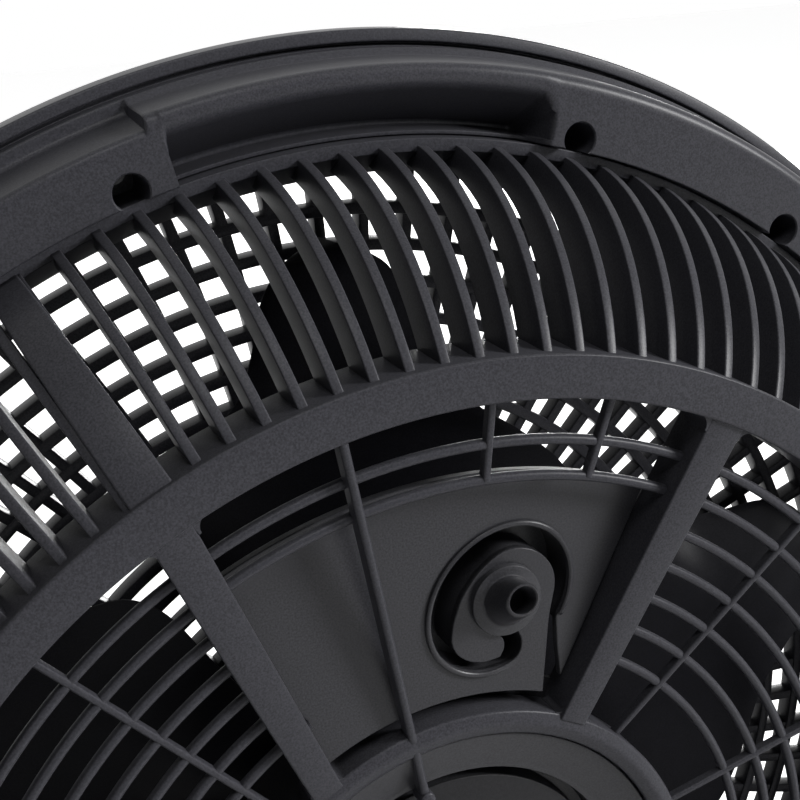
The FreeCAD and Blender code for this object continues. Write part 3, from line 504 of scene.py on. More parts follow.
@dataclass
class RearGrille:
    """Domed louvre grille: band, louvres, seat ring, struts, spokes, hub ring and guard rods."""

    band_width: float = 13.0
    band_depth: float = 20.0
    ring_radius: float = 247.0
    ring_wall: float = 4.0
    ring_rear: float = 8.0
    ring_depth: float = 20.0
    skirt_width: float = 7.5  # the seat ring's slope inwards
    skirt_drop: float = 13.0
    fin_count: int = 120
    fin_wall: float = 3.0
    fin_depth: float = 14.0
    fin_bulge: float = 11.0
    fin_inset: float = 1.5
    fin_way: Place = (0.25, 0.97)  # from a louvre's front edge to its rear edge
    fin_growth: float = 0.38  # how much deeper a louvre is at the ring
    fin_steps: int = 18
    strut_angles: tuple[float, ...] = (26.6, 153.0, 270.0)
    strut_width: float = 13.1
    strut_depth: float = 17.0
    strut_inset: float = 0.2
    strut_flare: float = 1.3  # how much wider each side is at the band
    side_spokes: tuple[float, ...] = (90.0, 153.0, 207.0, 270.0)
    right_lean: float = -2.1  # sideways step of the hub end of the right top spoke
    spoke_depth: float = 15.0
    spoke_taper: float = 1.6  # how much narrower each side is at the hub
    spoke_sink: float = 0.4  # how far the spokes lie below the band's rear face
    ring_lap: float = 1.5  # how far spokes and fillets reach into the rings
    fillet_lap: float = 0.8  # how far fillets reach into the spokes
    band_fillet: float = 4.0
    hub_fillet: float = 2.0
    hub_rear: float = 64.0
    hub_depth: float = 12.0
    rod_count: int = 7
    rod_first: float = 169.8
    rod_pitch: float = 11.3
    rod_width: float = 3.0
    rod_drop: float = 4.5
    rod_edge: float = 0.8
    top_rods: int = 2  # rods that also cross the top sector
    tie_half: float = 1.1  # half width of the radial rods
    radial_rods: tuple[float, ...] = (42.0, 70.0, 111.0, 132.0, 180.0, 228.0, 249.0, 290.0, 316.5)
    short_half: float = 1.2
    short_rods: tuple[float, ...] = (-3.0, -15.0)
    long_rod: float = 11.3  # its angle
    long_half: float = 1.4
    long_drop: float = 0.5
    long_depth: float = 5.5
    long_edge: float = 1.2
    rod_end: float = 56.0  # radius at which the long rod ends in a small stud
    stud_radius: float = 2.5
    draft: Draft = field(default_factory=partial(Draft, "rear_grille_fine"))

    @property
    def hub_edge(self) -> float:
        """Radius at which the spokes leave the hub ring."""
        return SIZE.hub_radius - SIZE.hub_width / 2

    @property
    def band_edge(self) -> float:
        """Radius at which the spokes end in the band."""
        return SIZE.band_radius - self.band_width / 2

    def dome_line(self, depth: float, inset: float) -> list[tuple[Place, Place]]:
        """Rear arc of a louvre with its front edge, deeper near the ring.

        Args:
            depth: Depth at the band.
            inset: How far the arc lies below the band and the ring.
        Returns:
            Pairs of rear and front places from the band to the ring.
        """
        inner, outer = SIZE.band_radius - self.band_width / 4, self.ring_radius - self.ring_wall / 2
        high, low = Vector((inner, SIZE.band_rear - inset)), Vector((outer, self.ring_rear - inset))
        chord = low - high
        outward = Vector((-chord.y, chord.x)).normalized()
        radius = chord.length ** 2 / 8 / self.fin_bulge + self.fin_bulge / 2
        centre = (high + low) / 2 + outward * (self.fin_bulge - radius)
        sweep = 2 * math.asin(chord.length / 2 / radius)
        line = []
        for step in range(self.fin_steps + 1):
            share = step / self.fin_steps
            rear = centre + Matrix.Rotation(-sweep * step / self.fin_steps, 2) @ (high - centre)
            front = rear - Vector(self.fin_way) * depth * (1 + self.fin_growth * smooth(0.55, 1, share))
            line.append(((rear.x, rear.y), (front.x, front.y)))
        return line

    def level(self, radius: float) -> float:
        """Rear face of the inner spokes at a radius."""
        share = (radius - self.hub_edge) / (self.band_edge - self.hub_edge)
        return self.hub_rear + (SIZE.band_rear - self.hub_rear) * share

    def radial(self, angle: float, inner: float, half: float, drop: float, depth: float, edge: float) -> None:
        """Straight rod to the band that follows the slope of the spokes.

        Args:
            angle: Angle from the top.
            inner: Radius at which it starts.
            half: Half of its width.
            drop: How far it lies below the spokes' rear faces.
            depth: Its depth.
            edge: Radius of its rear edges.
        """
        line = []
        for radius in (inner, (inner + self.band_edge) / 2, self.band_edge):
            high = self.level(radius) - drop
            line.append(((radius, high), (radius, high - depth)))
        self.draft.slat(angle, line, half, edge)

    def spoke(self, angle: float, lean: float = 0.0) -> None:
        """Inner spoke with flared ends, flush with the band.

        Args:
            angle: Angle from the top.
            lean: Sideways step of its hub end.
        """
        line, half = [], SIZE.spoke_width / 2
        for radius in (SIZE.hub_radius - self.ring_lap, self.band_edge):
            high = self.level(radius) - self.spoke_sink
            line.append(((radius, high), (radius, high - self.spoke_depth)))
        self.draft.slat(angle, line, half, 0.6, taper=self.spoke_taper, lean=lean)
        self.gussets(angle, SIZE.band_radius - self.band_width, -1, half, self.band_fillet, 0.5)
        self.gussets(angle, SIZE.hub_radius, 1, half - self.spoke_taper, self.hub_fillet, 1.6, lean)

    def gussets(self, angle: float, end: float, way: int, half: float, reach: float, top: float,
                lean: float = 0.0) -> None:
        """Concave fillets in the two corners between a spoke and a ring.

        Args:
            angle: The spoke's angle.
            end: The ring's radius.
            way: 1 if the spoke runs outwards from the ring, and -1 if inwards.
            half: Half of the spoke's width.
            reach: Radius of the fillets.
            top: How far they lie below the spoke's rear face.
            lean: Sideways step of the spoke's end.
        """
        root, lap = end - way * self.ring_lap, self.fillet_lap
        for side in (-1, 1):
            edge = side * (half - lap)
            outline = [(root, edge), (end + way * reach, edge)]
            for step in range(7):
                t = math.pi / 2 * step / 6
                outline.append((end + way * reach * (1 - math.sin(t)),
                                edge + side * (lap + reach * (1 - math.cos(t)))))
            outline.append((root, edge + side * (lap + reach)))
            self.draft.loft([[polar(angle, r, self.level(r) - drop, t + lean) for r, t in outline]
                             for drop in (self.spoke_depth - 3, top)])

    def rings(self) -> None:
        """Band, seat ring and hub ring."""
        outer, rear = SIZE.band_radius, SIZE.band_rear
        inner, front = outer - self.band_width, rear - self.band_depth
        self.draft.lathe(rounded([(inner, front, 0.5), (outer, front, 0.5), (outer, rear, 0.9),
                                  (inner, rear, 0.9)]), steps=360)
        outer, rear, front = self.ring_radius, self.ring_rear, self.ring_rear - self.ring_depth
        inner = outer - self.ring_wall
        skirt = inner - self.skirt_width
        self.draft.lathe(rounded([(skirt, front, 0.4), (outer, front, 0.4), (outer, rear, 0.4), (inner, rear, 0.5),
                                  (skirt, rear - self.skirt_drop, 0.8)]), steps=360)
        outer, rear, front = SIZE.hub_radius, self.hub_rear, self.hub_rear - self.hub_depth
        inner = outer - SIZE.hub_width
        self.draft.lathe(rounded([(inner, front, 0.5), (outer, front, 0.5), (outer, rear - 1.0, 1.2),
                                  (self.hub_edge, rear, 3.0), (inner, rear - 1.6, 1.2)]))

    def rods(self) -> None:
        """Round guard rods, and the thin radial rods that tie them."""
        half = self.rod_width / 2
        for rod in range(self.rod_count):
            middle = self.rod_first - rod * self.rod_pitch
            high = self.level(middle) - self.rod_drop
            low, inner, outer = high - self.rod_width, middle - half, middle + half
            section = rounded([(inner, low, self.rod_edge), (outer, low, self.rod_edge), (outer, high, half),
                               (inner, high, half)], 3)
            if rod < self.top_rods:
                self.draft.lathe(section, steps=300)
            else:
                self.draft.lathe(section, SIZE.sector_half, 360 - SIZE.sector_half, steps=260)
        under = self.rod_drop - 0.2
        for angle in self.radial_rods:
            self.radial(angle, self.hub_edge, self.tie_half, under, self.rod_width, self.rod_edge)
        last = self.rod_first - (self.top_rods - 1) * self.rod_pitch
        for angle in self.short_rods:
            self.radial(angle, last, self.short_half, under, self.rod_width, self.rod_edge)
        self.radial(self.long_rod, self.rod_end, self.long_half, self.long_drop, self.long_depth,
                    self.long_edge)
        high = self.level(self.rod_end)
        self.draft.tube([polar(self.long_rod, self.rod_end, high - drop) for drop in (6, 0.6)],
                        self.stud_radius, 24)

    def build(self) -> None:
        """Makes the grille."""
        self.rings()
        louvre = self.dome_line(self.fin_depth, self.fin_inset)
        for fin in range(self.fin_count):
            angle = 180 / self.fin_count + fin * 360 / self.fin_count
            self.draft.slat(angle, louvre, self.fin_wall / 2, 0.5, 3)
        strut, half = self.dome_line(self.strut_depth, self.strut_inset), self.strut_width / 2 - self.strut_flare
        for angle in self.strut_angles:
            self.draft.slat(angle, strut, half, 0.7, taper=-self.strut_flare)
        self.spoke(SIZE.sector_half, SIZE.spoke_lean)
        self.spoke(-SIZE.sector_half, self.right_lean)
        for angle in self.side_spokes:
            self.spoke(angle)
        self.rods()
        self.draft.build(GRILLE, Body.HEAD, ["rear_grille"])


@dataclass
class RearShell:
    """Rear rim: flange, handle with finger pocket, recessed wall, lip, screw wells and tilt bosses."""

    inner: float = 247.4
    flange_rear: float = 12.0
    lip_radius: float = 272.6
    lip_rear: float = -8.0
    handle_half: float = 14.2  # degrees from the top to the handle's left end
    shoulder_end: float = 62.0  # degrees to where its shoulder runs out on the right
    pocket_half: float = 13.4  # degrees from the top to the finger pocket's left end
    pocket_lip: float = 2.0
    pocket_floor: float = -8.0
    screw_circle: float = 251.0
    screw_bore: float = 5.3
    screw_angles: tuple[float, ...] = (16.5, 36.5, 76.5, 116.5, 156.5)  # on each side of the top
    # reach from the fan axis and radius of a tilt boss, from its root to its end
    boss_rings: tuple[Place, ...] = ((257.0, 16.0), (268.0, 14.0), (276.0, 12.8), (283.0, 12.5), (283.7, 12.2),
                                     (284.0, 11.6))

    def profiles(self) -> tuple[list[Place], ...]:
        """Sections of the plain rim, of the handle's ends and of the handle at its pocket.

        Returns:
            The three outlines, with equal numbers of points.
        """
        rear, lip, foot = self.flange_rear, self.lip_radius, self.lip_rear
        first, last = (self.inner, SIZE.seam, 0.1), (lip, SIZE.seam, 0.6)
        crown = [(269.5, rear, 5.0), (270.6, foot + 2, 0.8), (lip, foot, 0.5)]
        plain = [(self.inner, rear, 0.7), *((radius, rear, 0.1) for radius in (249.6, 252, 256, 259)),
                 (265.5, rear, 2.6), (268, foot, 3.5), (lip, foot, 0.9)]
        handle = [(self.inner, rear, 0.7), *((radius, rear, 0.1) for radius in (248.6, 250, 254, 261)), *crown]
        pocket = [(self.inner, self.pocket_lip, 0.3), (248.6, self.pocket_lip, 0.3),
                  (249.2, self.pocket_floor, 1.0), (251.0, self.pocket_floor, 2.0), (263.0, rear, 7.0), *crown]
        return tuple(rounded([first, *corners, last], 5) for corners in (plain, handle, pocket))

    def angles(self) -> list[float]:
        """Angles of the rim's sections, close together at the ends of the handle and its pocket.

        Returns:
            The angles once round from the top.
        """
        near = [angle / 10 for angle in range(110, 171)]
        far = [angle / 2 for angle in range(35, 686)]
        middle = [angle / 2 for angle in range(-21, 22)]
        return middle + near + far + [360 - angle for angle in reversed(near)]

    def section(self, angle: float, plain: list[Place], handle: list[Place], pocket: list[Place]) -> Loop:
        """The rim's section at an angle, mixed from the three drawn ones.

        Args:
            angle: Angle from the top.
            plain: Section of the plain rim.
            handle: Section of the handle's ends.
            pocket: Section of the handle at its pocket.
        Returns:
            The section's points.
        """
        turn = (angle + 180) % 360 - 180
        left = turn > 0
        end, run = (self.handle_half, 0.15) if left else (self.shoulder_end, 3.0)
        bulge = smooth(end + run, end - run, abs(turn))
        end, run = (self.pocket_half, 0.3) if left else (self.pocket_half + 1.0, 1.6)
        sink = smooth(end, end - run, abs(turn))
        loop = []
        for (ar, aw), (br, bw), (cr, cw) in zip(plain, handle, pocket):
            radius = ar + (br - ar) * bulge + (cr - br) * sink
            depth = aw + (bw - aw) * bulge + (cw - bw) * sink
            loop.append(polar(angle, radius, depth))
        return loop

    def well(self, draft: Draft, angle: float) -> None:
        """Cutter for one screw well, flared at its mouth.

        Args:
            draft: Draft of the cutters.
            angle: The screw's angle.
        """
        turn = math.radians(angle)
        middle = (-self.screw_circle * math.sin(turn), self.screw_circle * math.cos(turn))
        rear, bore = self.flange_rear, self.screw_bore
        rings = ((-9.0, bore), (rear - 0.9, bore), (rear - 0.35, bore + 0.15), (rear + 0.1, bore + 0.7),
                 (rear + 8, bore + 0.7))
        draft.loft([[place(u, v, depth) for u, v in circle(radius, 36, middle)] for depth, radius in rings])

    def build(self) -> None:
        """Makes the rim, cuts its screw wells and adds the tilt bosses."""
        draft = Draft("rear_shell_fine")
        shapes = self.profiles()
        draft.loft([self.section(angle, *shapes) for angle in self.angles()], ring=True)
        wells = Draft("well_cutters")
        for angle in self.screw_angles:
            self.well(wells, angle)
            self.well(wells, -angle)
        cut_away(draft.build(SHELL, Body.HEAD, ["rear_shell"]), wells)
        bosses = Draft("tilt_bosses_fine")
        for side in (-1, 1):
            bosses.loft([[place(side * reach, v, w) for v, w in circle(radius, 48)]
                         for reach, radius in self.boss_rings])
        bosses.build(SHELL, Body.HEAD)


@dataclass
class FrontGuard:
    """Bezel and front grille."""

    rim_radius: float = 278.0
    bezel_front: float = -46.0
    bezel_inner: float = 258.0
    guard_radius: float = 257.7
    guard_rim: float = 27.0  # width of the grille's solid edge
    guard_crown: float = 28.0  # how far its middle stands forward
    disc_radius: float = 48.0
    disc_depth: float = 9.0
    ring_pitch: float = 13.0
    ring_half: float = 2.1
    ribs: int = 84
    first_rib: float = 3.3  # degrees from the top
    rib_depth: float = 8.0
    rib_half: float = 1.9
    rib_start: float = 123.0  # radius at which the short ribs start; each third rib starts at the disc
    twist: float = 6.0  # degrees that a rib turns from the middle to the edge

    @property
    def guard_edge(self) -> float:
        """Inner radius of the grille's solid edge."""
        return self.guard_radius - self.guard_rim

    def level(self, radius: float) -> float:
        """Rear face of the front grille at a radius."""
        share = (radius - self.disc_radius) / (self.guard_edge - self.disc_radius)
        return self.bezel_front + self.rib_depth - self.guard_crown * (1 - min(1.0, share))

    def bezel(self) -> None:
        """Rounded outer rim with a groove next to the shell's lip."""
        rim, front, seam = self.rim_radius, self.bezel_front, SIZE.seam
        draft = Draft("front_bezel_fine")
        draft.lathe(rounded([(263, seam - 3, 0.3), (263, seam - 0.1, 0.3), (272.8, seam - 0.1, 0.3),
                             (273.1, seam - 2.6, 0.8), (273.9, seam - 2.6, 0.4), (274.1, seam + 1.4, 0.7),
                             (rim, seam + 0.6, 0.9), (rim, seam - 8, 6.0), (269.5, front, 5.0),
                             (self.bezel_inner, front, 0.8), (self.bezel_inner, front + 3, 0.6),
                             (266, front + 3, 2.0), (rim - 3.6, seam - 9, 2.0), (rim - 3.4, seam - 3, 0.5)]),
                    steps=360)
        draft.build(SHELL, Body.HEAD, ["front_bezel"])

    def rings(self, draft: Draft) -> None:
        """Concentric rings of the grille, its edge and its middle disc.

        Args:
            draft: The grille's draft.
        """
        edge, outer, front = self.guard_edge, self.guard_radius, self.bezel_front
        draft.lathe(rounded([(edge, front, 1.0), (outer, front, 0.8), (outer, front + 6, 0.5),
                             (edge, front + 6, 1.0)], 3), steps=300)
        radius = edge - self.ring_pitch
        while radius > self.disc_radius + self.ring_pitch / 2:
            high = self.level(radius)
            low, inside, outside = high - self.rib_depth, radius - self.ring_half, radius + self.ring_half
            draft.lathe(rounded([(inside, low, 1.0), (outside, low, 1.0), (outside, high, 0.9),
                                 (inside, high, 0.9)], 2), steps=180)
            radius -= self.ring_pitch
        high, disc, middle = self.level(self.disc_radius), self.disc_radius, 0.05
        low = high - self.disc_depth
        draft.lathe(rounded([(middle, low, 0.02), (disc - 10, low, 8.0), (disc, high - 6, 2.0), (disc, high, 0.6),
                             (middle, high, 0.02)]), steps=120)

    def rib(self, draft: Draft, angle: float, inner: float) -> None:
        """One slightly spiralled rib.

        Args:
            draft: The grille's draft.
            angle: Angle from the top at the disc.
            inner: Radius at which the rib starts.
        """
        outer, half, deep = self.guard_radius - 2.5, self.rib_half, self.rib_depth - 0.8
        section = rounded([(-half, -deep, 0.8), (half, -deep, 0.8), (half, 0, 0.8), (-half, 0, 0.8)], 2)
        loops = []
        for step in range(13):
            radius = inner + (outer - inner) * step / 12
            turn = angle + self.twist * (radius - self.disc_radius) / (outer - self.disc_radius)
            high = self.level(radius) - 0.4
            loops.append([polar(turn, radius, high + up, side) for side, up in section])
        draft.loft(loops)

    def build(self) -> None:
        """Makes both pieces."""
        self.bezel()
        draft = Draft("front_grille_fine")
        self.rings(draft)
        for rib in range(self.ribs):
            inner = self.rib_start if rib % 3 else self.disc_radius - 2
            self.rib(draft, self.first_rib + rib * 360 / self.ribs, inner)
        draft.build(GRILLE, Body.HEAD, ["front_grille"])


@dataclass
class BladeWheel:
    """Five broad blades on a cup hub, each drawn out to a rounded tip."""

    count: int = 5
    start: float = -0.5  # rest angle of the first blade from the top
    # radius, and the angles of the blade's two edges
    outline: tuple[Corner, ...] = (
        (36.0, 30.0, -30.0), (80.0, 33.0, -36.0), (120.0, 32.0, -37.0), (132.0, 30.0, -36.0),
        (142.0, 27.0, -33.0), (149.0, 22.5, -27.0), (153.0, 17.0, -19.5), (160.0, 12.0, -12.5),
        (177.0, 9.2, -7.6), (194.0, 7.4, -5.6), (204.0, 5.0, -3.8), (211.0, 1.0, -0.6))
    tip: float = 211.0
    tip_length: float = 13.0  # the part of the blade that is drawn in finer steps
    root: float = 42.0
    hub: float = 44.0
    hub_wall: float = 3.0
    hub_depth: float = 34.0
    hub_bore: float = 4.0
    front: float = -54.0
    rear_edge: Corner = (-24.0, 17.0, -8.0)  # its depth at the root, and what the middle and the tip add
    front_edge: Place = (-46.0, 14.0)  # its depth at the root, and what the tip adds
    camber: float = 3.5
    wall: Place = (0.35, 0.85)  # half thickness at the edges, and what the middle adds to it

    def edges(self, radius: float) -> Place:
        """Angles of a blade's two edges, softened over a few millimetres.

        Args:
            radius: Radius in millimetres.
        Returns:
            The angles from the blade's own angle.
        """
        sums = [0.0, 0.0]
        for shift in (-4.0, -2.0, 0.0, 2.0, 4.0):
            spot = radius + shift * smooth(self.tip, self.tip - 12, radius)
            spot = min(self.tip, max(self.outline[0][0], spot))
            for (low, *near), (high, *far) in zip(self.outline, self.outline[1:]):
                if low <= spot <= high:
                    share = (spot - low) / (high - low)
                    sums = [total + (a + (b - a) * share) / 5 for total, a, b in zip(sums, near, far)]
                    break
        return sums[0], sums[1]

    def section(self, angle: float, radius: float, steps: int = 18) -> Loop:
        """Closed section of a blade at a radius.

        Args:
            angle: The blade's angle.
            radius: Radius in millimetres.
            steps: Segments from edge to edge.
        Returns:
            The section's points.
        """
        ahead, behind = self.edges(radius)
        root, rise, fall = self.rear_edge
        shallow = root + rise * smooth(50, 105, radius) + fall * smooth(150, self.tip, radius)
        deep = self.front_edge[0] + self.front_edge[1] * smooth(90, self.tip, radius)
        upper, lower = [], []
        for step in range(steps + 1):
            share = step / steps
            round_off = 1 - (2 * share - 1) ** 2
            turn = angle + behind + (ahead - behind) * share
            depth = shallow + (deep - shallow) * share + self.camber * round_off
            thick = self.wall[0] + self.wall[1] * math.sqrt(round_off)
            upper.append(polar(turn, radius, depth + thick))
            lower.append(polar(turn, radius, depth - thick))
        return upper + lower[::-1]

    def build(self) -> None:
        """Makes the wheel."""
        draft = Draft("fan_blade_fine")
        rear, inner, floor = self.front + self.hub_depth, self.hub - self.hub_wall, self.front + self.hub_wall
        draft.lathe(rounded([(self.hub_bore, self.front, 0.1), (self.hub, self.front, 6.0), (self.hub, rear, 0.8),
                             (inner, rear, 0.6), (inner, floor, 3.0), (self.hub_bore, floor, 0.1)]), steps=120)
        last = self.tip - self.tip_length
        radii = [self.root + (last - self.root) * step / 52 for step in range(53)]
        radii += [last + self.tip_length * math.sin(math.pi / 2 * step / 10) for step in range(1, 11)]
        for blade in range(self.count):
            angle = self.start + blade * 360 / self.count
            draft.loft([self.section(angle, radius) for radius in radii])
        draft.build(BLADE, Body.ROTOR, ["fan_blade"], crease=50.0)


@dataclass
class SectorPanel:
    """Recessed panel of the top sector with its lipped tub, swirl pad and screw post."""

    rear: float = 60.0
    inner: float = 86.0
    outer: float = 157.5
    wall: float = 3.0
    edge: float = 0.45
    sill_drop: float = 9.0
    sill_wall: float = 2.0
    tub_place: Place = (14.8, 115.0)
    tub_half: Place = (24.2, 24.3)
    tub_lean: float = 4.0
    tub_floor: float = 13.0
    tub_wall: float = 2.0
    tub_cut: float = 0.935  # inside of the tub's wall, as a share of its oval
    tub_arc: tuple[int, int, int] = (-26, 271, 8)  # degrees of the wall's corners: first, limit and step
    tub_round: float = 30.0  # radius at these corners
    cut_height: float = 6.0  # top of the cutters over the panel's face
    lip_share: float = 0.97  # middle of the tub's lip, as a share of its oval
    lip_ends: Place = (-25.0, 292.0)  # degrees
    lip_shape: tuple[Place, ...] = ((-0.8, -0.6), (-0.8, 0.8), (-0.5, 1.15), (0.0, 1.3), (0.5, 1.15), (0.8, 0.8),
                                    (0.8, -0.6))
    oval_middle: Place = (1.0, 0.8)
    # corners of the pad and its tongue from the tub's middle, each with its radius
    swirl: tuple[Corner, ...] = (
        (1.6, -21.6, 6), (5.0, -20.8, 6), (7.4, -18.3, 6), (8.1, -14.3, 6), (6.3, -10.6, 6), (2.8, -8.4, 6),
        (-1.4, -8.0, 1.2), (-2.5, -9.3, 1.0), (0.2, -10.4, 6), (2.1, -12.9, 6), (2.2, -16.0, 6),
        (0.6, -18.6, 0.5), (-4.6, -19.2, 8), (-9.8, -17.7, 8), (-13.7, -14.6, 8), (-15.4, -10.2, 8),
        (-14.6, -4.2, 20), (-11.5, 4.0, 20), (-6.2, 10.4, 20), (0.0, 14.9, 20), (5.5, 16.4, 20),
        (11.3, 15.3, 20), (16.2, 11.7, 20), (19.2, 7.0, 20), (19.9, 2.0, 20), (17.4, -9.2, 40),
        (14.6, -36.0, 0.2), (21.5, -36.0, 0.2), (20.0, -20.0, 8), (19.8, -12.6, 0.8))
    # radius and height of the post's rings, up its outside and down its bore
    post_rings: tuple[Place, ...] = (
        (11.4, -1.0), (11.4, 1.5), (11.25, 1.9), (10.9, 2.1), (8.9, 2.1), (8.2, 2.4), (7.7, 3.2), (7.2, 5.0),
        (5.6, 11.6), (5.4, 12.2), (5.1, 12.5), (4.7, 12.6), (4.35, 12.3), (4.2, 11.6), (4.0, 4.0))
    post_foot: Place = (2.6, 0.6)
    post_base: float = 2.1  # height of the post's foot
    post_height: float = 10.5  # from its foot to its top
    post_lean: float = 4.8  # how far its top leans up

    def spot(self, x: float, y: float, lift: float) -> Vector:
        """Point from the tub's middle, at a height over the panel's face."""
        return place(self.tub_place[0] + x, self.tub_place[1] + y, self.rear + lift)

    def oval(self, turn: float, share: float) -> Place:
        """Point of the tub's leaning oval, from its middle."""
        across, up = math.cos(math.radians(turn)), math.sin(math.radians(turn))
        return (self.oval_middle[0] + share * (self.tub_half[0] * across + self.tub_lean * up),
                self.oval_middle[1] + share * self.tub_half[1] * up)

    def trench(self, name: str, floor: float) -> Draft:
        """Cutter between the tub's wall and the pad.

        Args:
            name: Name of the cutter.
            floor: Height of its floor over the panel's face.
        Returns:
            The cutter.
        """
        corners = [(*self.oval(turn, self.tub_cut), self.tub_round) for turn in range(*self.tub_arc)]
        outline = rounded([*corners, *self.swirl])
        draft = Draft(name)
        draft.loft([[self.spot(x, y, lift) for x, y in outline] for lift in (floor, self.cut_height)])
        return draft

    def plate(self) -> None:
        """Panel with the trench cut through it, and the sill behind its lower edge."""
        trim = SIZE.spoke_width / 2 + 0.3
        outline = []
        for radius, way in ((self.inner, 1), (self.outer, -1)):
            right = SIZE.sector_half - math.degrees(math.asin(trim / radius))
            share = (self.outer - radius) / (self.outer - SIZE.hub_radius)
            left = right + 2 + math.degrees(SIZE.spoke_lean * share / radius)
            outline += [((left - right) / 2 + (left + right) / 2 * way * (2 * step / 48 - 1), radius)
                        for step in range(49)]
        draft = Draft("sector_panel_fine")
        draft.loft([[polar(angle, radius, self.rear - drop) for angle, radius in outline]
                    for drop in (self.wall, 0.0)])
        piece = draft.build(PANEL, Body.HEAD, ["sector_panel"])
        cut_away(piece, self.trench("trench_cutter", -2 * self.tub_floor))
        soften(piece, self.edge, drawn=True)
        sill = Draft("panel_sill_fine")
        high, inner, outer = self.rear - self.sill_drop, SIZE.hub_radius - 1, self.inner + 1.5
        low = high - self.sill_wall
        sill.lathe([(inner, low), (outer, low), (outer, high), (inner, high)],
                   -SIZE.sector_half, SIZE.sector_half, 60)
        sill.build(PANEL, Body.HEAD)

    def tub(self) -> None:
        """Deep tray under the trench, with the lip round it."""
        tray = Draft("panel_tub_fine")
        tray.loft([[self.spot(*self.oval(4 * step, self.lip_share), lift) for step in range(90)]
                   for lift in (-self.tub_floor - self.tub_wall, -1.0)])
        cut_away(tray.build(PANEL, Body.HEAD), self.trench("tub_cutter", -self.tub_floor))
        lip, loops = Draft("panel_lip_fine"), []
        first, last = self.lip_ends
        for step in range(121):
            turn = first + (last - first) * step / 120
            rise = smooth(first, first + 3, turn) * smooth(last, last - 24, turn)
            loop = []
            for out, up in self.lip_shape:
                x, y = self.oval(turn, self.lip_share + out / self.tub_half[0])
                loop.append(self.spot(x, y, up * rise if up > 0 else up))
            loops.append(loop)
        lip.loft(loops)
        lip.build(PANEL, Body.HEAD)

    def post(self) -> None:
        """Stepped post with its bore; its axis leans up with the mould."""
        draft, loops = Draft("panel_post_fine"), []
        for radius, lift in self.post_rings:
            lean = self.post_lean * max(0.0, lift - self.post_base) / self.post_height
            middle = (self.post_foot[0], self.post_foot[1] + lean)
            loops.append([self.spot(x, y, lift) for x, y in circle(radius, 64, middle)])
        draft.loft(loops)
        draft.build(PANEL, Body.HEAD)

    def build(self) -> None:
        """Makes the panel."""
        self.plate()
        self.tub()
        self.post()


@dataclass
class HubCover:
    """Dished cover inside the hub ring, and the speed knob in its well."""

    rear: float = 60.0
    front: float = 52.0
    groove_depth: float = 8.0
    cap_bore: float = 3.05
    knob_radius: float = 21.0
    knob_seat: float = 55.3
    knob_height: float = 7.0
    knob_bore: float = 3.0
    grip_height: float = 7.0

    def cover(self) -> None:
        """Dish with a groove round its cap, and the cord's inlet."""
        rear, front, groove = self.rear, self.front, self.front - self.groove_depth
        edge = SIZE.hub_radius - SIZE.hub_width - 0.4
        draft = Draft("hub_cover_fine")
        draft.lathe(rounded([(52.4, front, 0.2), (52.4, groove - 1, 0.2), (59.6, groove - 1, 0.2),
                             (61.0, front, 0.2), (edge, front, 0.3), (edge, rear + 1.2, 0.8),
                             (60.0, front + 4.6, 1.2), (58.2, front + 4.2, 0.5), (57.8, groove, 0.6),
                             (53.8, groove, 0.6), (53.4, front, 0.3)], 5), steps=200)
        piece = draft.build(PANEL, Body.HEAD, ["hub_cover"])
        low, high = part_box("cord_grommet")
        middle, radius = ((low.z + high.z) / 2 - AXIS) / MM, (high.z - low.z) / 2 / MM + 0.1
        inlet = Draft("inlet_cutter")
        inlet.loft([[place(u, v, w) for u, v in circle(radius, 36, (0.0, middle))]
                    for w in (front - 3, rear + 3)])
        cut_away(piece, inlet)

    def cap(self) -> None:
        """Cap with a raised ring round the knob; its colour is darker than the panel plastic, as painted shade."""
        front, bore, seat = self.front, self.cap_bore, self.front + 3
        draft = Draft("hub_cap_fine")
        draft.lathe(rounded([(bore, front, 0.1), (53.8, front, 0.3), (53.8, front + 1.2, 0.4),
                             (33.0, front + 1.6, 1.5), (31.0, front + 5.5, 1.2), (26.5, front + 5.5, 1.0),
                             (24.5, seat, 0.6), (bore, seat, 0.1)], 5), steps=200)
        draft.build(CAP_PAINTED_SHADE, Body.HEAD)

    def knob(self) -> None:
        """Dial with a tapered finger grip and a raised pointer line."""
        draft = Draft("speed_knob_fine")
        seat, high, bore = self.knob_seat, self.knob_seat + self.knob_height, self.knob_bore
        draft.lathe(rounded([(bore, seat, 0.1), (self.knob_radius, seat, 0.4), (self.knob_radius - 0.8, high, 1.6),
                             (bore, high, 0.1)]), steps=120)
        top = high + self.grip_height
        grip = rounded([(-4.6, -19.2, 3.0), (4.6, -19.2, 3.0), (3.2, 19.2, 2.6), (-3.2, 19.2, 2.6)], 6)
        draft.prism(grip, high - 1, top, 1.2, place)
        pointer = rounded([(-0.7, 8, 0.5), (0.7, 8, 0.5), (0.7, 17, 0.5), (-0.7, 17, 0.5)], 3)
        draft.prism(pointer, top - 0.5, top + 0.4, 0.3, place)
        draft.build(KNOB, Body.KNOB, ["speed_knob"])

    def build(self) -> None:
        """Makes the cover, its cap and the knob."""
        self.cover()
        self.cap()
        self.knob()


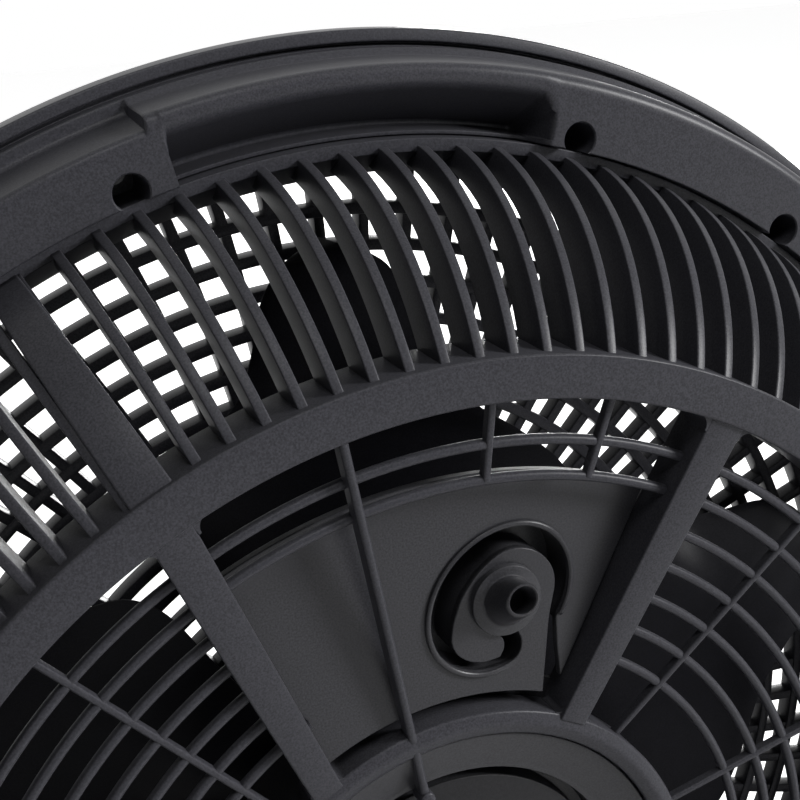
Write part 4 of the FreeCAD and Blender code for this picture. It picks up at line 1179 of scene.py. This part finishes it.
@dataclass
class Stand:
    """Two bent tubes and their rubber feet."""

    tube: float = 9.5
    bend: float = 60.0
    half: float = 298.6  # tube axis from the middle
    spread: float = 150.0  # floor tubes from the tilt axis
    floor: float = 12.5  # height of the floor tubes' axes
    top: float = 22.0  # leg ends from the tilt axis
    drop: float = 25.0  # leg ends below the tilt axis
    foot_place: float = 200.0
    foot_half: float = 18.0
    foot_ribs: int = 5
    rib_pitch: float = 7.3
    rib_length: float = 6.8

    def path(self, side: int) -> Loop:
        """Middle line of a tube, from one leg's end over the floor to the other's.

        Args:
            side: 1 for the rear tube and -1 for the front one.
        Returns:
            Points in metres.
        """
        top = AXIS / MM - self.drop
        length = math.hypot(top - self.floor, self.spread - self.top)
        flat: list[Place] = [(-self.half, length)]
        for corner, start in ((-1, 180.0), (1, 270.0)):
            for step in range(13):
                turn = math.radians(start + 90 * step / 12)
                flat.append((corner * (self.half - self.bend) + self.bend * math.cos(turn),
                             self.bend + self.bend * math.sin(turn)))
        flat.append((self.half, length))
        points = []
        for x, along in flat:
            share = along / length
            y = side * (self.spread + (self.top - self.spread) * share)
            points.append(Vector((x * MM, y * MM, (self.floor + (top - self.floor) * share) * MM)))
        return points

    def spot(self, side: int, y: float, z: float, x: float) -> Vector:
        """Point beside a floor tube, in metres."""
        return Vector((x * MM, (side * self.spread + y) * MM, z * MM))

    def saddle(self, half: float, low: float, high: float) -> list[Place]:
        """Outline of a foot: flat below, and narrower over the tube."""
        return rounded([(-half, low, 1.5), (half, low, 1.5), (half, self.floor, 5), (half / 2, high, 4),
                        (-half / 2, high, 4), (-half, self.floor, 5)])

    def feet(self) -> None:
        """Ribbed rubber saddles under the floor tubes."""
        draft = Draft("rubber_feet_fine")
        rib, core = self.saddle(14, 0, 25), self.saddle(13, 0.6, 24.2)
        reach = self.foot_half - 0.5
        for side in (-1, 1):
            spot = partial(self.spot, side)
            for middle in (-self.foot_place, self.foot_place):
                for step in range(self.foot_ribs):
                    low = middle - self.foot_half + step * self.rib_pitch
                    draft.prism(rib, low, low + self.rib_length, 0.8, spot)
                draft.prism(core, middle - reach, middle + reach, 0.5, spot)
        draft.build(FOOT, Body.STAND, ["rubber_feet"])

    def build(self) -> None:
        """Makes the tubes and feet."""
        for name, side in (("front_stand_tube", -1), ("rear_stand_tube", 1)):
            draft = Draft(f"{name}_fine")
            draft.tube(self.path(side), self.tube, 32)
            draft.build(STAND, Body.STAND, [name])
        self.feet()


def finish_cad() -> None:
    """Gives each CAD piece that stays in view its material and soft edges."""
    for name, (finish, width) in CAD_FINISHES.items():
        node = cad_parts[name]
        node.data.materials.clear()
        node.data.materials.append(finish.material())
        if width:
            soften(node, width, drawn=False)
        log.info("%s: %s", name, finish.slot)


@dataclass(frozen=True)
class Lamp:
    """Soft area lamp, placed in metres."""

    name: str
    spot: tuple[float, float, float]
    aim: tuple[float, float, float]
    size: float
    power: float

    def build(self) -> None:
        """Adds the lamp to the scene."""
        data = bpy.data.lights.new(self.name, "AREA")
        data.shape = "DISK"
        data.size = self.size
        data.energy = self.power
        lamp = bpy.data.objects.new(self.name, data)
        lamp.location = self.spot
        lamp.rotation_euler = (Vector(self.aim) - Vector(self.spot)).to_track_quat("-Z", "Y").to_euler()
        bpy.context.scene.collection.objects.link(lamp)


LAMPS = (
    Lamp("key", (-2.45, 1.7, 1.7), (0.0, 0.05, 0.42), 1.0, 150.0),
    Lamp("top", (0.1, 1.2, 2.3), (0.0, 0.0, 0.5), 0.9, 14.0),
    Lamp("fill", (2.3, 1.0, 0.75), (0.0, 0.0, 0.45), 0.5, 0.8),
    Lamp("front", (-1.7, -2.7, 0.6), (0.0, -0.05, 0.25), 1.0, 50.0),
)


def seen_by(tree: bpy.types.NodeTree) -> bpy.types.NodeSocket:
    """Mask for the camera and for what mirrors or passes its view.

    Args:
        tree: Tree of the floor's material or of the world.
    Returns:
        Socket that is 1 for these rays and 0 for lighting.
    """
    path = add_node(tree, "ShaderNodeLightPath", {})
    total = path["Is Camera Ray"]
    for name in ("Is Glossy Ray", "Is Transmission Ray"):
        total = add_node(tree, "ShaderNodeMath", {0: total, 1: path[name]}, operation="MAXIMUM")["Value"]
    return total


@dataclass(frozen=True)
class PhotoView:
    """Camera fitted to the photograph's circles, about the middle of the band's rear face."""

    pixels: float = 800.0
    sensor: float = 36.0
    focal: float = 1500.0  # pixels
    tilt: float = 17.5  # degrees
    pan: float = 22.7  # degrees
    roll: float = 3.0  # degrees that the fan's top leans in the photograph
    axis_pixel: Place = (490.0, 972.0)  # where the band's middle falls
    distance: float = 2.35  # in band radii
    farthest: float = 50.0  # metres that the camera sees

    def matrix(self) -> Matrix:
        """The camera's place and turn.

        Returns:
            Its matrix in the frame that the CAD pieces are in.
        """
        turn = Matrix.Rotation(math.radians(self.tilt), 3, "X") @ Matrix.Rotation(math.radians(self.pan), 3, "Y")
        right, down = ((pixel - self.pixels / 2) / self.focal for pixel in self.axis_pixel)
        spot = turn.transposed() @ (Vector((right, -down, -1.0)) * -self.distance)
        matrix = Matrix([self.to_part(Vector(row)) for row in turn]).transposed().to_4x4()
        matrix.translation = place(0.0, 0.0, SIZE.band_rear) + self.to_part(spot) * (SIZE.band_radius * MM)
        return matrix

    def to_part(self, fit: Vector) -> Vector:
        """Turns a direction of the fitted frame into the part's frame.

        Args:
            fit: Direction in the frame of the fitted camera.
        Returns:
            The direction in the frame that the CAD pieces are in.
        """
        turn = math.radians(self.roll)
        u = fit.x * math.cos(turn) + fit.y * math.sin(turn)
        v = -fit.x * math.sin(turn) + fit.y * math.cos(turn)
        return Vector((-u, fit.z, v))

    def build(self) -> None:
        """Makes the scene's camera: behind the fan, above it and to the image's left."""
        data = bpy.data.cameras.new("camera")
        data.sensor_width = self.sensor
        data.lens = self.focal * self.sensor / self.pixels
        data.clip_end = self.farthest
        camera = bpy.data.objects.new("camera", data)
        camera.matrix_world = self.matrix()
        bpy.context.scene.collection.objects.link(camera)
        bpy.context.scene.camera = camera


@dataclass
class Studio:
    """Pale floor, white surround, lamps and the photograph's camera."""

    world_light: float = 0.01
    floor_size: float = 12.0  # metres
    floor_color: tuple[float, float, float, float] = (0.86, 0.86, 0.86, 1.0)
    floor_roughness: float = 0.8
    floor_glow: float = 0.86  # brings the lit floor to white for the camera and leaves its shadow

    def floor(self) -> None:
        """Plain pale floor; it keeps the shadow."""
        mesh = bpy.data.meshes.new("floor")
        half = self.floor_size / 2
        mesh.from_pydata([(-half, -half, 0), (half, -half, 0), (half, half, 0), (-half, half, 0)], [],
                         [(0, 1, 2, 3)])
        ground = bpy.data.objects.new("floor", mesh)
        bpy.context.scene.collection.objects.link(ground)
        made = bpy.data.materials.new("floor")
        made.use_nodes = True
        tree = made.node_tree
        glow = add_node(tree, "ShaderNodeMath", {0: seen_by(tree), 1: self.floor_glow}, operation="MULTIPLY")
        feed(tree, tree.nodes["Principled BSDF"], {
            "Base Color": self.floor_color, "Roughness": self.floor_roughness, "Emission Color": WHITE,
            "Emission Strength": glow["Value"]})
        mesh.materials.append(made)

    def world(self) -> None:
        """White surround for the camera and for reflections, a plain soft light for the rest."""
        made = bpy.data.worlds.new("surround")
        bpy.context.scene.world = made
        made.use_nodes = True
        tree = made.node_tree
        strength = add_node(tree, "ShaderNodeMapRange", {"Value": seen_by(tree), "To Min": self.world_light})
        feed(tree, tree.nodes["Background"], {"Color": WHITE, "Strength": strength["Result"]})

    def build(self) -> None:
        """Makes the studio."""
        bpy.context.scene.view_settings.view_transform = "Standard"
        self.floor()
        self.world()
        for lamp in LAMPS:
            lamp.build()
        PhotoView().build()


def main() -> None:
    """Builds the whole scene."""
    logging.basicConfig(level=logging.INFO)
    for part in (RearGrille(), RearShell(), FrontGuard(), BladeWheel(), SectorPanel(), HubCover(), Stand()):
        part.build()
    finish_cad()
    Studio().build()


if __name__ == "__main__":
    main()
